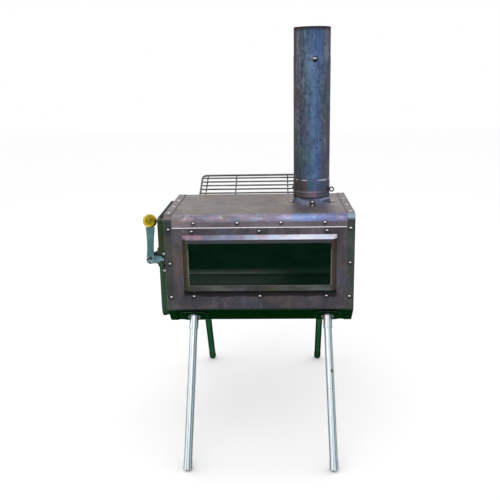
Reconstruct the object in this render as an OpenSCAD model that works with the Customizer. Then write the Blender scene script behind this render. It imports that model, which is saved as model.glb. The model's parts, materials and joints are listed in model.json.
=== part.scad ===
// Tent wood stove: a riveted sheet steel firebox on four plug-in legs, with a long front
// window, a side door with a ball lever latch, a flue pipe with a damper, and a rear rack.
// Millimetres, +Z up. The origin lies on the ground, under the middle of the whole stove.

/* [Body] */
// Width over the outer faces of the two end caps
body_w = 400; // [360:1:460]
// Depth from the front wall to the back wall
body_d = 255; // [240:1:300]
// Height from the underside to the top plate
body_h = 246; // [236:1:280]
// Height of the underside above the ground
ground_gap = 258; // [220:1:300]
// Height and depth of the bevel along each lower long edge
bevel = 38; // [34:1:44]
// Outer bend radius of the upper long edges
top_bend_r = 12; // [8:0.5:15]
// Outer bend radius at both ends of each bevel
low_bend_r = 8; // [4:0.5:12]
// Thickness of the body's sheet steel
sheet_t = 1.2; // [0.8:0.1:1.6]
// Width of the end caps' flanges
cap_flange = 16.5; // [15:0.5:20]
// Height of the top plate's front and back flanges
top_flange = 27.8; // [25:0.2:32]
// Gap left between two sheets that lie on each other
seam = 0.1; // [0.05:0.05:0.2]

/* [Rivets] */
// Radius of a rivet's shank
rivet_r = 1.6; // [1.4:0.1:2]
// Radius of a rivet's domed head
rivet_head_r = 3.4; // [3:0.1:4]
// Height of a rivet's domed head
rivet_head_h = 1.8; // [1.4:0.1:2.4]
// Gap round a shank in its hole
hole_gap = 0.08; // [0.05:0.01:0.2]
// Distance from the top plate down to the top flange's rivets
top_rivet_drop = 18; // [16:0.5:21]
// Distance between neighbouring rivets of the top flange
top_rivet_pitch = 91.6; // [80:0.2:95]
// Distance from a body end to its flange rivets
cap_rivet_in = 9.3; // [8:0.1:10]
// Height from the underside to the lowest front flange rivet
cap_rivet_low = 66; // [60:1:72]
// Distance between neighbouring front flange rivets
cap_rivet_pitch = 74.5; // [68:0.5:78]
// Distance from the front wall to the first top flange rivet
cap_top_rivet_in = 20; // [18:1:30]

/* [Window] */
// Width over the window frame's outer edge
window_w = 326; // [300:1:335]
// Distance from the bevel's upper edge up to the window frame's lower edge
window_low = 36; // [33:1:50]
// Distance from the top plate to the window frame's upper edge
window_drop = 43; // [42:0.5:46]
// How far the window frame stands out of the front wall
frame_rise = 8; // [6:0.5:10]
// Width of the frame's sloping outer band
frame_slope_w = 8.5; // [6:0.5:10]
// Width of the frame's flat front lip at the sides
frame_lip_w = 4.5; // [4:0.5:8]
// Width of the frame's flat front lip above the glass
frame_top_lip_w = 8; // [6:0.5:10]
// Width of the frame's flat front lip below the glass
frame_low_lip_w = 12; // [8:0.5:14]
// Width of the frame's flange behind the front wall
frame_flange_w = 14; // [12.5:0.5:15]
// Thickness of the ceramic glass
glass_t = 4; // [3:0.5:5]
// Thickness of the glass gasket
gasket_t = 1.5; // [1:0.25:2]
// Distance from the frame's edge to its rivets, outwards
window_rivet_out = 7; // [5.5:0.5:9]
// Distance between neighbouring window rivets
window_rivet_pitch = 142; // [120:1:150]

/* [Grate] */
// Height of the grate above the underside
grate_z = 41; // [39:0.5:44]
// Width of one grate slot
slot_w = 9; // [6:0.5:11]
// Distance between neighbouring grate slots
slot_pitch = 22; // [19:0.5:26]
// Number of slots in one grate row
slot_n = 15; // [9:1:15]

/* [Door] */
// Distance from the body's front wall to the door's front edge
door_in = 3; // [2:0.5:5]
// Depth of the door along the body's end
door_d = 208; // [195:1:212]
// Distance from the top plate to the door's top edge
door_drop = 7; // [5:0.5:10]
// Distance from the underside to the door's lower edge
door_low = 14; // [12:0.5:20]
// Corner radius at the door's top
door_top_r = 8; // [6:0.5:14]
// Corner radius at the door's bottom
door_low_r = 32; // [32:0.5:36]
// Distance from the body's end to the door's outer face
door_out = 13.8; // [13:0.1:15]
// Thickness of the door's sheets
door_t = 1.2; // [1:0.1:1.4]
// Length of the door frame's neck
neck_len = 8.4; // [7.8:0.1:8.8]
// Distance that the neck's wall lies inside the door's outline
neck_inset = 1.9; // [1.4:0.1:2.2]
// Width of the neck's flange on the end cap
neck_flange = 12; // [10:0.5:14]
// Depth of the door's folded rim
door_rim = 6.2; // [6:0.1:7.4]
// Width of the gasket rope
rope_w = 5; // [4:0.5:6]

/* [Hinge] */
// Radius of the hinge pins
pin_r = 2; // [1.5:0.1:2.2]
// Running clearance round pins, pivots and rods
run_gap = 0.05; // [0.03:0.01:0.08]
// Thickness of the hinge leaves
leaf_t = 1.5; // [1.2:0.1:1.8]
// Height of one hinge
hinge_h = 42; // [36:1:54]
// Height of the lower hinge's middle above the underside
hinge_low = 68; // [67:1:76]
// Height of the upper hinge's middle above the underside
hinge_high = 196; // [185:1:200]
// Gap between hinge knuckles, and between the door and the hinge
knuckle_gap = 0.4; // [0.3:0.1:0.6]

/* [Latch] */
// Distance from the body's end to the latch pivot
pivot_out = 30; // [28:0.5:34]
// Distance from the top plate to the latch pivot
pivot_drop = 90.5; // [84:0.5:98]
// Distance from the pivot down to the catch pin's middle
catch_pin_drop = 9; // [8.5:0.5:10]
// Radius of the catch pin
catch_pin_r = 2; // [1.5:0.1:2.5]
// Distance between the catch plate's two bolts
catch_bolt_pitch = 37; // [34:0.5:42]
// Thickness of the latch arm and of the handle bar
lever_t = 2.4; // [2:0.1:2.6]
// Distance from the pivot up to the middle of the ball
handle_len = 80; // [70:0.5:90]
// Width of the handle bar at its waist
handle_waist_w = 14; // [12:0.5:15]
// Width of the handle bar under the ball
handle_top_w = 19.5; // [16:0.5:21]
// Radius of the ball
ball_r = 14.5; // [11:0.5:16]

/* [Air vent] */
// Radius of each air hole
vent_r = 8; // [6:0.5:9]
// Distance between neighbouring air holes
vent_pitch = 36; // [34:1:40]
// Number of air holes
vent_n = 3; // [2:1:3]
// Height of the air holes above the underside
vent_z = 62; // [56:1:70]
// Distance from the door's middle forward to the middle of the air holes
vent_forward = 14; // [12:1:18]
// Travel of the air slider
vent_travel = 18; // [16.5:0.5:18]
// Height of the air slider
slider_h = 30; // [28:1:34]

/* [Flue] */
// Outer radius of the flue pipe
pipe_r = 40; // [36:0.5:44]
// Wall thickness of the flue pipe
pipe_t = 0.6; // [0.5:0.1:0.8]
// Distance from the body's right end to the flue's axis
flue_in = 84; // [75:1:100]
// Distance from the front wall to the flue's axis
flue_y = 137; // [125:1:150]
// Height of the pipe's top above the top plate
pipe_top = 376; // [330:1:420]
// Height of the pipe's lower end above the top plate
pipe_low = 15; // [14.6:0.1:17]
// Length of the pipe's widened lower socket
socket_len = 39.5; // [36:0.5:46]
// Length of the pipe's drawn-in upper end
pipe_end_len = 57; // [50:1:64]
// How far the pipe's upper end is drawn in, so that the next pipe slides on
pipe_end_in = 0.4; // [0.3:0.1:0.6]
// Height of the collar above the top plate
collar_h = 27; // [25:0.5:28]
// Height of the damper's rod above the top plate
damper_z = 31.5; // [31:0.5:36]
// Direction of the damper's rod, forward from the right
damper_turn = 23; // [15:1:30]
// Radius of the damper's rod
rod_r = 1.5; // [1.5:0.1:1.8]
// Distance from the drawn-in end down to the pipe's bolt
pipe_bolt_drop = 9; // [9:0.5:14]

/* [Rack] */
// Width of the rear rack over its side wires
rack_w = 314; // [280:1:330]
// Distance from the rack's hinge to its far wire
rack_len = 117; // [105:1:130]
// Upward tilt of the rack
rack_tilt = 24; // [18:1:28]
// Radius of the rack's frame wire
rack_wire_r = 2.5; // [2:0.1:2.6]
// Radius of the rack's rods
rack_rod_r = 2; // [1.5:0.1:2]
// Distance between neighbouring rods
rack_pitch = 17.2; // [16:0.2:18]
// Number of rods between the hinge and the far wire
rack_n = 6; // [5:1:6]
// Distance from the top plate down to the rack's hinge
rack_drop = 20; // [18:0.5:22]
// Distance from the back wall to the rack's hinge
rack_off = 9; // [8:0.5:11]
// Distance from the rack's middle to its outer crossbars
rack_bar_out = 141; // [125:1:145]
// Distance from the rack's middle to its inner crossbars
rack_bar_in = 66; // [50:1:80]
// Distance from the rack's middle to its hinge brackets
rack_bracket_x = 104; // [96:1:115]

/* [Legs] */
// Distance from a body end to a leg's root
leg_in = 54; // [45:1:65]
// Angle of the legs out from upright, forwards and backwards
leg_splay = 33; // [29:0.5:36]
// Outward lean of the legs to the sides
leg_lean = 0.8; // [0:0.1:2]
// Outer radius of the leg tubes
leg_r = 8.5; // [7.5:0.1:9]
// Wall thickness of the leg tubes
leg_t = 1; // [0.8:0.1:1.2]
// Wall thickness of the leg sockets
socket_t = 1.4; // [1.1:0.1:1.7]
// Length of a socket from its plate
leg_socket_len = 30; // [26:1:36]
// Length of the upper leg tube
upper_len = 155; // [140:1:165]
// Distance from the tubes' joint up to the snap button
button_up = 37; // [32:1:42]
// Radius of the snap button
button_r = 2.8; // [2.4:0.1:3]
// Travel of the snap button
button_travel = 2.2; // [1.8:0.1:2.4]
// Width of a leg plate
plate_w = 58; // [54:1:64]
// Height of a leg plate along the bevel
plate_h = 40; // [36:1:42]

/* [Hidden] */
$fn = 64;

steel = [0.36, 0.34, 0.36];
blued = [0.30, 0.36, 0.46];
dark_steel = [0.20, 0.20, 0.21];
bright = [0.78, 0.80, 0.82];
brass = [0.75, 0.58, 0.12];
glass = [0.05, 0.14, 0.11];
rope = [0.62, 0.60, 0.56];

z_low = ground_gap;
z_top = ground_gap + body_h;
half_w = body_w / 2;
eps = 0.01;
hole_r = rivet_r + hole_gap;
tail_t = 1.2;
tail_r = rivet_r + 1;
ball_off = 2.5;

// The handle's ball is the stove's leftmost point and the right end cap its rightmost,
// so the body stands this far right of the origin.
shift_x = (pivot_out - ball_off + ball_r) / 2;

module placed(shade) color(shade) translate([shift_x, -body_d / 2, 0]) children();

// ---------------------------------------------------------------- outlines and rivets

function unit(v) = v / norm(v);

// A polygon with each corner rounded by its own true arc.
module rounded(points, radii) {
    n = len(points);
    ins = [for (i = [0 : n - 1]) unit(points[(i + n - 1) % n] - points[i])];
    outs = [for (i = [0 : n - 1]) unit(points[(i + 1) % n] - points[i])];
    half = [for (i = [0 : n - 1]) acos(ins[i] * outs[i]) / 2];
    polygon([for (i = [0 : n - 1]) for (side = [ins[i], outs[i]])
        points[i] + side * radii[i] / tan(half[i])]);
    for (i = [0 : n - 1])
        translate(points[i] + unit(ins[i] + outs[i]) * radii[i] / sin(half[i]))
            circle(radii[i]);
}

module rounded_box(w, h, r)
    rounded([[-w / 2, -h / 2], [w / 2, -h / 2], [w / 2, h / 2], [-w / 2, h / 2]], [r, r, r, r]);

// Extrudes a depth-and-height outline along X.
module along_x(from, to)
    translate([from, 0, 0]) rotate([90, 0, 90]) linear_extrude(to - from) children();

// Extrudes a width-and-height outline along Y.
module along_y(from, to)
    translate([0, to, 0]) rotate([90, 0, 0]) linear_extrude(to - from) children();

// The firebox's end view, drawn in by some distance.
module body_outline(inset) {
    slant = bevel + (sqrt(2) - 1) * inset;
    top_r = max(top_bend_r - inset, 0.5);
    low_r = max(low_bend_r - inset, 0.5);
    rounded([[inset, z_top - inset], [inset, z_low + slant], [slant, z_low + inset],
             [body_d - slant, z_low + inset], [body_d - inset, z_low + slant],
             [body_d - inset, z_top - inset]],
            [top_r, low_r, low_r, low_r, low_r, top_r]);
}

// The door's outline on the body's left end, drawn in by some distance.
module door_outline(inset) {
    y1 = door_in + inset;
    y2 = door_in + door_d - inset;
    z1 = z_low + door_low + inset;
    z2 = z_top - door_drop - inset;
    rounded([[y1, z1], [y2, z1], [y2, z2], [y1, z2]],
            [door_low_r - inset, door_low_r - inset, max(door_top_r - inset, 0.5),
             max(door_top_r - inset, 0.5)]);
}

// A rivet along +Z: its domed head stands on the plane z = 0, and its shank and
// tail hold the sheets below, down to the given depth.
module rivet(depth) {
    dome_r = (rivet_head_r * rivet_head_r + rivet_head_h * rivet_head_h) / (2 * rivet_head_h);
    intersection() {
        translate([0, 0, rivet_head_h - dome_r]) sphere(dome_r);
        cylinder(r = rivet_head_r, h = rivet_head_h);
    }
    translate([0, 0, -depth - tail_t / 2]) cylinder(r = rivet_r, h = depth + tail_t / 2 + eps);
    translate([0, 0, -depth - tail_t]) cylinder(r = tail_r, h = tail_t);
}

// Turns +Z to point forwards, backwards, left, right or down the rivet's own way.
module face_front() rotate([90, 0, 0]) children();
module face_back() rotate([-90, 0, 0]) children();
module face_left() rotate([0, -90, 0]) children();
module face_right() rotate([0, 90, 0]) children();

// Runs its children at each front wall and back wall, mirrored about the body's middle.
module front_and_back() {
    children();
    translate([0, body_d, 0]) mirror([0, 1, 0]) children();
}

module both_ends() {
    children();
    mirror([1, 0, 0]) children();
}

// ---------------------------------------------------------------- firebox

top_flange_xs = [for (i = [-1.5 : 1 : 1.5]) i * top_rivet_pitch];
cap_zs = [for (i = [0 : 2]) z_low + cap_rivet_low + i * cap_rivet_pitch];
cap_top_ys = [for (i = [0 : 3]) cap_top_rivet_in + i * (body_d - 2 * cap_top_rivet_in) / 3];
cap_low_ys = [for (i = [0 : 2]) bevel + 16 + i * (body_d - 2 * bevel - 32) / 2];
cap_x = half_w - cap_rivet_in;
skin = sheet_t + seam;

// Where the case's rivets go: each child stands with its head outwards.
module top_flange_spots()
    front_and_back() for (x = top_flange_xs)
        translate([x, -skin, z_top - top_rivet_drop]) face_front() children();
module cap_spots() both_ends() {
    front_and_back() {
        for (z = cap_zs) translate([cap_x, -skin, z]) face_front() children();
        translate([cap_x, bevel / 2, z_low + bevel / 2]) rotate([135, 0, 0])
            translate([0, 0, skin]) children();
    }
    for (y = cap_low_ys) translate([cap_x, y, z_low - skin]) rotate([180, 0, 0]) children();
}
module cap_top_spots() both_ends()
    for (y = cap_top_ys) translate([cap_x, y, z_top + skin]) children();
module shank_hole() translate([0, 0, -12]) cylinder(r = hole_r, h = 16);

// Room for a rivet's tail in a sheet that isn't riveted, where a change brings the two near.
module tail_room() translate([0, 0, -12]) cylinder(r = tail_r + 0.4, h = 16);

module body_sheet() placed(steel) difference() {
    along_x(-half_w + skin, half_w - skin) difference() {
        body_outline(0);
        body_outline(sheet_t);
        translate([-1, z_top - top_bend_r]) square([body_d + 2, top_bend_r + 1]);
    }
    along_y(-1, 3) translate([0, z_window]) square([window_w, window_h], center = true);
    top_flange_spots() shank_hole();
    cap_spots() shank_hole();
    window_spots() shank_hole();
    leg_spots() plate_rivet_spots() shank_hole();
    rack_bracket_spots() shank_hole();
}

module top_sheet() placed(steel) difference() {
    union() {
        along_x(-half_w + skin, half_w - skin)
            translate([top_bend_r, z_top - sheet_t]) square([body_d - 2 * top_bend_r, sheet_t]);
        along_x(-half_w + cap_flange + 0.4, half_w - cap_flange - 0.4) intersection() {
            difference() {
                bent_top(0);
                bent_top(sheet_t);
            }
            translate([-skin, z_top - top_flange]) square([body_d + 2 * skin, top_flange]);
        }
    }
    translate([flue_x, flue_y, z_top - 5]) cylinder(r = collar_r + seam, h = 10);
    top_flange_spots() shank_hole();
    cap_top_spots() shank_hole();
    collar_foot_spots() shank_hole();
}

module bent_top(inset) {
    y1 = -skin + inset;
    y2 = body_d + skin - inset;
    z2 = z_top - inset;
    r = top_bend_r - inset;
    rounded([[y1, z_top - 2 * top_flange], [y2, z_top - 2 * top_flange], [y2, z2], [y1, z2]],
            [0.5, 0.5, r, r]);
}

module end_cap() {
    along_x(half_w - sheet_t, half_w) body_outline(-skin);
    along_x(half_w - cap_flange, half_w - sheet_t + eps) difference() {
        body_outline(-skin);
        body_outline(-seam);
    }
}

module cap_holes() {
    cap_spots() shank_hole();
    cap_top_spots() shank_hole();
}

module right_end_cap() placed(steel) difference() {
    end_cap();
    cap_holes();
}

module left_end_cap() placed(steel) difference() {
    mirror([1, 0, 0]) end_cap();
    cap_holes();
    along_x(-half_w - 1, -half_w + sheet_t + 1) door_outline(neck_inset + door_t + neck_flange);
    neck_spots() shank_hole();
    hinge_foot_spots() shank_hole();
}

module case_rivets() placed(bright) {
    top_flange_spots() rivet(2 * sheet_t + seam + 0.05);
    cap_spots() rivet(2 * sheet_t + seam + 0.05);
    cap_top_spots() rivet(2 * sheet_t + seam + 0.05);
}

// ---------------------------------------------------------------- window

window_h = body_h - bevel - window_low - window_drop;
z_window = z_top - window_drop - window_h / 2;
frame_t = 1;
frame_back = sheet_t + seam;
lip_in = frame_slope_w + frame_lip_w;

module window_spots() {
    for (side = [-1, 1]) for (i = [-1 : 1])
        translate([i * window_rivet_pitch, 0,
                   z_window + side * (window_h / 2 + window_rivet_out)])
            face_front() children();
}

// A mitred, sloping block: its base lies on the wall and it narrows towards the front.
module sloping_block(w, h, rise, run) intersection() {
    along_x(-w / 2, w / 2)
        polygon([[frame_back, z_window - h / 2], [0, z_window - h / 2],
                 [-rise, z_window - h / 2 + run], [-rise, z_window + h / 2 - run],
                 [0, z_window + h / 2], [frame_back, z_window + h / 2]]);
    translate([0, 0, z_window - h / 2]) linear_extrude(h)
        polygon([[-w / 2, frame_back], [-w / 2, 0], [-w / 2 + run, -rise],
                 [w / 2 - run, -rise], [w / 2, 0], [w / 2, frame_back]]);
}

module window_block(w, h, from, to)
    along_y(from, to) translate([0, z_window]) square([w, h], center = true);

// The opening inside the lip; the lip is wider below the glass than above it.
module window_opening(more, from, to)
    along_y(from, to) translate([0, z_window + (frame_low_lip_w - frame_top_lip_w) / 2])
        square([window_w - 2 * lip_in + more,
                window_h - 2 * frame_slope_w - frame_top_lip_w - frame_low_lip_w + more],
               center = true);

module window_frame() placed(steel) difference() {
    union() {
        sloping_block(window_w - 2 * seam, window_h - 2 * seam, frame_rise, frame_slope_w);
        window_block(window_w + 2 * frame_flange_w, window_h + 2 * frame_flange_w,
                     frame_back, frame_back + frame_t);
    }
    translate([0, frame_t, 0])
        sloping_block(window_w - 2 * seam - 2 * frame_t, window_h - 2 * seam - 2 * frame_t,
                      frame_rise, frame_slope_w);
    window_opening(0, -frame_rise - 1, 3);
    window_spots() shank_hole();
    cap_spots() tail_room();
}

// Glass, gasket and retainer lie behind the lip, inside the sloping band.
glass_front = -frame_rise + frame_t + seam + gasket_t + seam;
glass_w = window_w - 2 * frame_slope_w - 2 * frame_t - 2;
glass_h = window_h - 2 * frame_slope_w - 2 * frame_t - 2;

module window_gasket() placed(rope) difference() {
    window_block(glass_w, glass_h, -frame_rise + frame_t + seam,
                 -frame_rise + frame_t + seam + gasket_t);
    window_opening(1, -frame_rise, 3);
}

module window_glass() placed(glass)
    window_block(glass_w, glass_h, glass_front, glass_front + glass_t);

retainer_y = frame_back + frame_t + seam;

module glass_retainer() placed(dark_steel) difference() {
    union() {
        window_block(window_w + 2 * frame_flange_w, window_h + 2 * frame_flange_w,
                     retainer_y, retainer_y + frame_t);
        window_block(glass_w, glass_h, glass_front + glass_t + seam, retainer_y + frame_t);
    }
    window_block(glass_w - 2 * frame_t, glass_h - 2 * frame_t,
                 glass_front + glass_t + seam + frame_t, retainer_y + frame_t + 1);
    window_opening(0, -frame_rise, 9);
    window_spots() shank_hole();
    cap_spots() tail_room();
}

module window_rivets() placed(bright) window_spots() rivet(retainer_y + frame_t + 0.05);

// ---------------------------------------------------------------- grate

module grate() placed(dark_steel) {
    rest = 1.6;
    depth = body_d - 2 * (sheet_t + 1.2);
    length = body_w - 2 * (skin + sheet_t) - 4;
    fold_y = (body_d - depth) / 2 + 2.6;
    fold_z = bevel + sqrt(2) * sheet_t - fold_y + 0.2;
    difference() {
        translate([-length / 2, (body_d - depth) / 2, z_low + grate_z])
            cube([length, depth, rest]);
        for (row = [-1, 0, 1]) for (i = [0 : slot_n - 1])
            translate([(i - (slot_n - 1) / 2) * slot_pitch, body_d / 2 + row * 72,
                       z_low + grate_z - 1])
                linear_extrude(rest + 2) rounded_box(slot_w, 56, slot_w / 2 - eps);
    }
    // Folded edges stand on the bevels inside the firebox.
    front_and_back()
        translate([-length / 2, fold_y, z_low + fold_z])
            cube([length, rest, grate_z - fold_z + eps]);
}

// ---------------------------------------------------------------- door frame and catch

module door_plate(inset, from, to) along_x(-half_w - to, -half_w - from) door_outline(inset);

module door_ring(outer, inner, from, to)
    along_x(-half_w - to, -half_w - from) difference() {
        door_outline(outer);
        door_outline(inner);
    }

neck_hole = neck_inset + door_t + neck_flange;
neck_rivet_in = neck_inset + door_t + neck_flange / 2;
door_y1 = door_in;
door_y2 = door_in + door_d;
door_z1 = z_low + door_low;
door_z2 = z_top - door_drop;

module neck_spots() {
    for (y = [door_y1 + neck_rivet_in, door_y2 - neck_rivet_in])
        for (i = [0 : 2])
            translate([-half_w - door_t - seam, y,
                       door_z1 + 40 + i * (door_z2 - door_z1 - 70) / 2])
                face_left() children();
    for (z = [door_z1 + neck_rivet_in, door_z2 - neck_rivet_in]) for (i = [0 : 1])
        translate([-half_w - door_t - seam, door_y1 + door_d * (0.35 + 0.3 * i), z])
            face_left() children();
}

module door_neck() placed(steel) difference() {
    union() {
        door_ring(neck_inset, neck_inset + door_t, seam, neck_len);
        door_ring(neck_inset + door_t - eps, neck_hole, seam, seam + door_t);
    }
    neck_spots() shank_hole();
    catch_bolt_spots() translate([0, 0, -6]) cylinder(r = catch_bolt_r + hole_gap, h = 12);
    catch_slot();
}

pivot_x = -half_w - pivot_out;
pivot_z = z_top - pivot_drop;
catch_x = -half_w - 3.4;
catch_pin_x = -half_w - 4.4;
catch_pin_z = pivot_z - catch_pin_drop;
catch_bolt_r = 1.5;
catch_z = pivot_z - 11;
neck_y = door_in + neck_inset;

module catch_bolt_spots() for (side = [-1, 1])
    translate([catch_x, neck_y - seam - catch_t, catch_z + side * catch_bolt_pitch / 2])
        face_front() children();
module catch_slot() translate([catch_x - 1.4, door_in - 5, catch_z - 12]) cube([2.8, 12, 8.5]);
catch_t = 1.5;

module catch_plate() placed(bright) difference() {
    union() {
        along_y(neck_y - seam - catch_t, neck_y - seam)
            translate([-half_w - 3.2, catch_z]) rounded_box(6, catch_bolt_pitch + 11, 2.5);
        translate([catch_pin_x, neck_y - seam - catch_t + eps, catch_pin_z])
            face_front() cylinder(r = catch_pin_r, h = neck_y - catch_t - arm_front - 0.4);
    }
    catch_bolt_spots() translate([0, 0, -6]) cylinder(r = catch_bolt_r + hole_gap, h = 12);
    catch_slot();
}

module catch_bolts() placed(bright) catch_bolt_spots() {
    cylinder(r = 2.9, h = 1.7);
    translate([0, 0, -5.6]) cylinder(r = catch_bolt_r, h = 5.6 + eps);
    translate([0, 0, -catch_t - 2 * seam - door_t - 2.4]) rotate([0, 0, 30])
        cylinder(r = 2.3, h = 2.2, $fn = 6);
}

// ---------------------------------------------------------------- hinge

knuckle_r = pin_r + leaf_t;
hinge_x = -half_w - door_out - seam - leaf_t + knuckle_r;
hinge_y = door_y2 + 1 + knuckle_r;
hinge_zs = [z_low + hinge_low, z_low + hinge_high];
part_h = hinge_h / 3;

module knuckle(z1, z2) translate([hinge_x, hinge_y, z1]) difference() {
    cylinder(r = knuckle_r, h = z2 - z1);
    translate([0, 0, -1]) cylinder(r = pin_r + run_gap, h = z2 - z1 + 2);
}

module knuckle_bore(z) translate([hinge_x, hinge_y, z - hinge_h])
    cylinder(r = pin_r + run_gap, h = 2 * hinge_h);

hinge_foot_d = 26;
door_leaf_d = 30;
module hinge_foot_spots() for (z = hinge_zs) for (side = [-1, 1])
    translate([-half_w - leaf_t - seam, hinge_y + hinge_foot_d / 2, z + side * hinge_h / 4])
        face_left() children();

// The fixed leaves stand on the end cap and reach out to the door's edge.
module hinge_leaves_fixed() placed(bright) for (z = hinge_zs) {
    for (side = [-1, 1]) {
        low = side < 0 ? z - hinge_h / 2 : z + part_h / 2 + knuckle_gap / 2;
        high = side < 0 ? z - part_h / 2 - knuckle_gap / 2 : z + hinge_h / 2;
        knuckle(low, high);
        difference() {
            translate([hinge_x, hinge_y - knuckle_r, low])
                cube([-half_w - leaf_t - seam - hinge_x + eps, leaf_t, high - low]);
            knuckle_bore(z);
        }
    }
    difference() {
        translate([-half_w - leaf_t - seam, hinge_y - knuckle_r, z - hinge_h / 2])
            cube([leaf_t, knuckle_r + hinge_foot_d, hinge_h]);
        hinge_foot_spots() shank_hole();
    }
}

module hinge_leaf_spots() for (z = hinge_zs) for (side = [-1, 1])
    translate([-half_w - door_out - leaf_t - seam, door_y2 - door_leaf_d * 2 / 3,
               z + side * hinge_h / 4])
        face_left() children();

module hinge_leaves_door() placed(bright) for (z = hinge_zs) {
    knuckle(z - part_h / 2 + knuckle_gap / 2, z + part_h / 2 - knuckle_gap / 2);
    difference() {
        union() {
            translate([hinge_x - knuckle_r, door_y2 - door_leaf_d, z - hinge_h / 2])
                cube([leaf_t, door_leaf_d, hinge_h]);
            translate([hinge_x - knuckle_r, door_y2 - eps, z - part_h / 2 + knuckle_gap / 2])
                cube([leaf_t, hinge_y - door_y2, part_h - knuckle_gap]);
        }
        knuckle_bore(z);
        hinge_leaf_spots() shank_hole();
    }
}

module hinge_pins() placed(bright) for (z = hinge_zs) translate([hinge_x, hinge_y, 0]) {
    translate([0, 0, z - hinge_h / 2 - 2]) cylinder(r = pin_r, h = hinge_h + 4);
    for (end = [z - hinge_h / 2 - 2, z + hinge_h / 2 + 0.2])
        translate([0, 0, end]) cylinder(r = pin_r + 1, h = 1.8);
}

// ---------------------------------------------------------------- door

door_skin_in = door_out - door_t;
rope_in = door_t + seam;
liner_inset = rope_in + rope_w + seam;
liner_depth = 9.4;

function vent_y(i) = door_in + door_d / 2 - vent_forward + (i - (vent_n - 1) / 2) * vent_pitch;
vent_zc = z_low + vent_z;

module vent_holes(r, from, to) for (i = [0 : vent_n - 1])
    translate([-half_w - to, vent_y(i), vent_zc]) face_right() cylinder(r = r, h = to - from);

module door_panel() placed(steel) difference() {
    union() {
        door_plate(0, door_skin_in, door_out);
        door_ring(0, door_t, door_out - door_rim, door_skin_in + eps);
    }
    vent_holes(vent_r, 0, door_out + 1);
    hinge_leaf_spots() shank_hole();
    rail_spots() shank_hole();
    latch_foot_spots() shank_hole();
}

module door_liner() placed(dark_steel) difference() {
    union() {
        door_plate(liner_inset, door_skin_in - liner_depth, door_skin_in - liner_depth + door_t);
        door_ring(liner_inset, liner_inset + door_t, door_skin_in - liner_depth + door_t - eps,
                  door_skin_in - seam);
    }
    vent_holes(vent_r + 3, 0, door_out + 1);
}

module door_gasket() placed(rope)
    door_ring(rope_in, rope_in + rope_w, neck_len + 0.2, door_skin_in - seam);

module door_rivets() placed(bright) {
    hinge_leaf_spots() rivet(leaf_t + seam + door_t + 0.05);
    rail_spots() rivet(rail_t + seam + door_t + 0.05);
    latch_foot_spots() rivet(latch_plate_t + seam + door_t + 0.05);
}

// ---------------------------------------------------------------- air vent

slider_t = 1.2;
rail_t = slider_t + 0.4 + 1;
rail_w = 12;
slider_len = vent_pitch * (vent_n - 1) + 2 * vent_r + 16;
rail_len = slider_len + vent_travel + 8;
slider_y = vent_y(0) - vent_r - 8;
rail_y = slider_y - 4;
knob_y = slider_y + slider_len - 5;

module rail_spots() for (side = [-1, 1]) for (y = [rail_y + 8, rail_y + rail_len - 8])
    translate([-half_w - door_out - seam - rail_t, y, vent_zc + side * (slider_h / 2 + 6.5)])
        face_left() children();

module vent_rails() placed(bright) for (side = [-1, 1]) difference() {
    translate([-half_w - door_out - seam - rail_t, rail_y,
               vent_zc + side * (slider_h / 2 + 4) - rail_w / 2])
        cube([rail_t, rail_len, rail_w]);
    translate([-half_w - door_out - seam - slider_t - 0.4, rail_y - 1,
               vent_zc - slider_h / 2 - 0.3])
        cube([slider_t + 0.4 + 1, rail_len + 2, slider_h + 0.6]);
    rail_spots() shank_hole();
}

module vent_slider() placed(blued) difference() {
    translate([-half_w - door_out - seam - 0.2 - slider_t, slider_y, vent_zc - slider_h / 2])
        cube([slider_t, slider_len, slider_h]);
    vent_holes(vent_r, door_out, door_out + 4);
    translate([-half_w - door_out - 4, knob_y, vent_zc])
        face_right() cylinder(r = 1.5 + hole_gap, h = 6);
}

module vent_knob() placed(brass)
    translate([-half_w - door_out - seam - 0.2 - slider_t, knob_y, vent_zc]) face_left() {
        translate([0, 0, 0.05]) cylinder(r = 2.8, h = 4.5);
        translate([0, 0, 4]) cylinder(r = 5, h = 6);
        translate([0, 0, -slider_t + 0.05]) cylinder(r = 1.5, h = slider_t + 1);
    }

// ---------------------------------------------------------------- latch and handle

arm_back = door_in - 2.8;
arm_front = arm_back - lever_t;
bar_front = arm_front - seam - lever_t;
latch_plate_t = 2;
pivot_r = 2;
foot_r = 9;
foot_z = pivot_z - 4;
ball_z = pivot_z + handle_len;
ball_y = bar_front + lever_t / 2;
bar_top = ball_z - ball_r + 1;
tang_r = 2.5;

module latch_foot_spots() for (side = [-1, 1])
    translate([-half_w - door_out - seam - latch_plate_t, door_in + 17, pivot_z + side * 12])
        face_left() children();

module latch_bracket() placed(bright) difference() {
    union() {
        translate([-half_w - door_out - seam - latch_plate_t, arm_back + 0.3, pivot_z - 20])
            cube([latch_plate_t, 26, 40]);
        along_y(arm_back + 0.3, arm_back + 0.3 + latch_plate_t) {
            translate([pivot_x, pivot_z]) circle(8);
            polygon([[pivot_x, pivot_z - 8], [pivot_x, pivot_z + 8],
                     [-half_w - door_out - seam - eps, pivot_z + 16],
                     [-half_w - door_out - seam - eps, pivot_z - 16]]);
        }
    }
    translate([pivot_x, arm_back - 5, pivot_z]) face_back() cylinder(r = pivot_r + run_gap, h = 15);
    latch_foot_spots() shank_hole();
}

module latch_pivot() placed(bright) translate([pivot_x, 0, pivot_z]) {
    translate([0, bar_front - 0.15 - 2.6, 0]) face_back() cylinder(r = 3.9, h = 2.6, $fn = 6);
    translate([0, bar_front - 1, 0]) face_back()
        cylinder(r = pivot_r, h = arm_back - bar_front + latch_plate_t + 5);
    translate([0, arm_back + 0.3 + latch_plate_t + 0.15, 0]) face_back()
        cylinder(r = 3.9, h = 3, $fn = 6);
}

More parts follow.
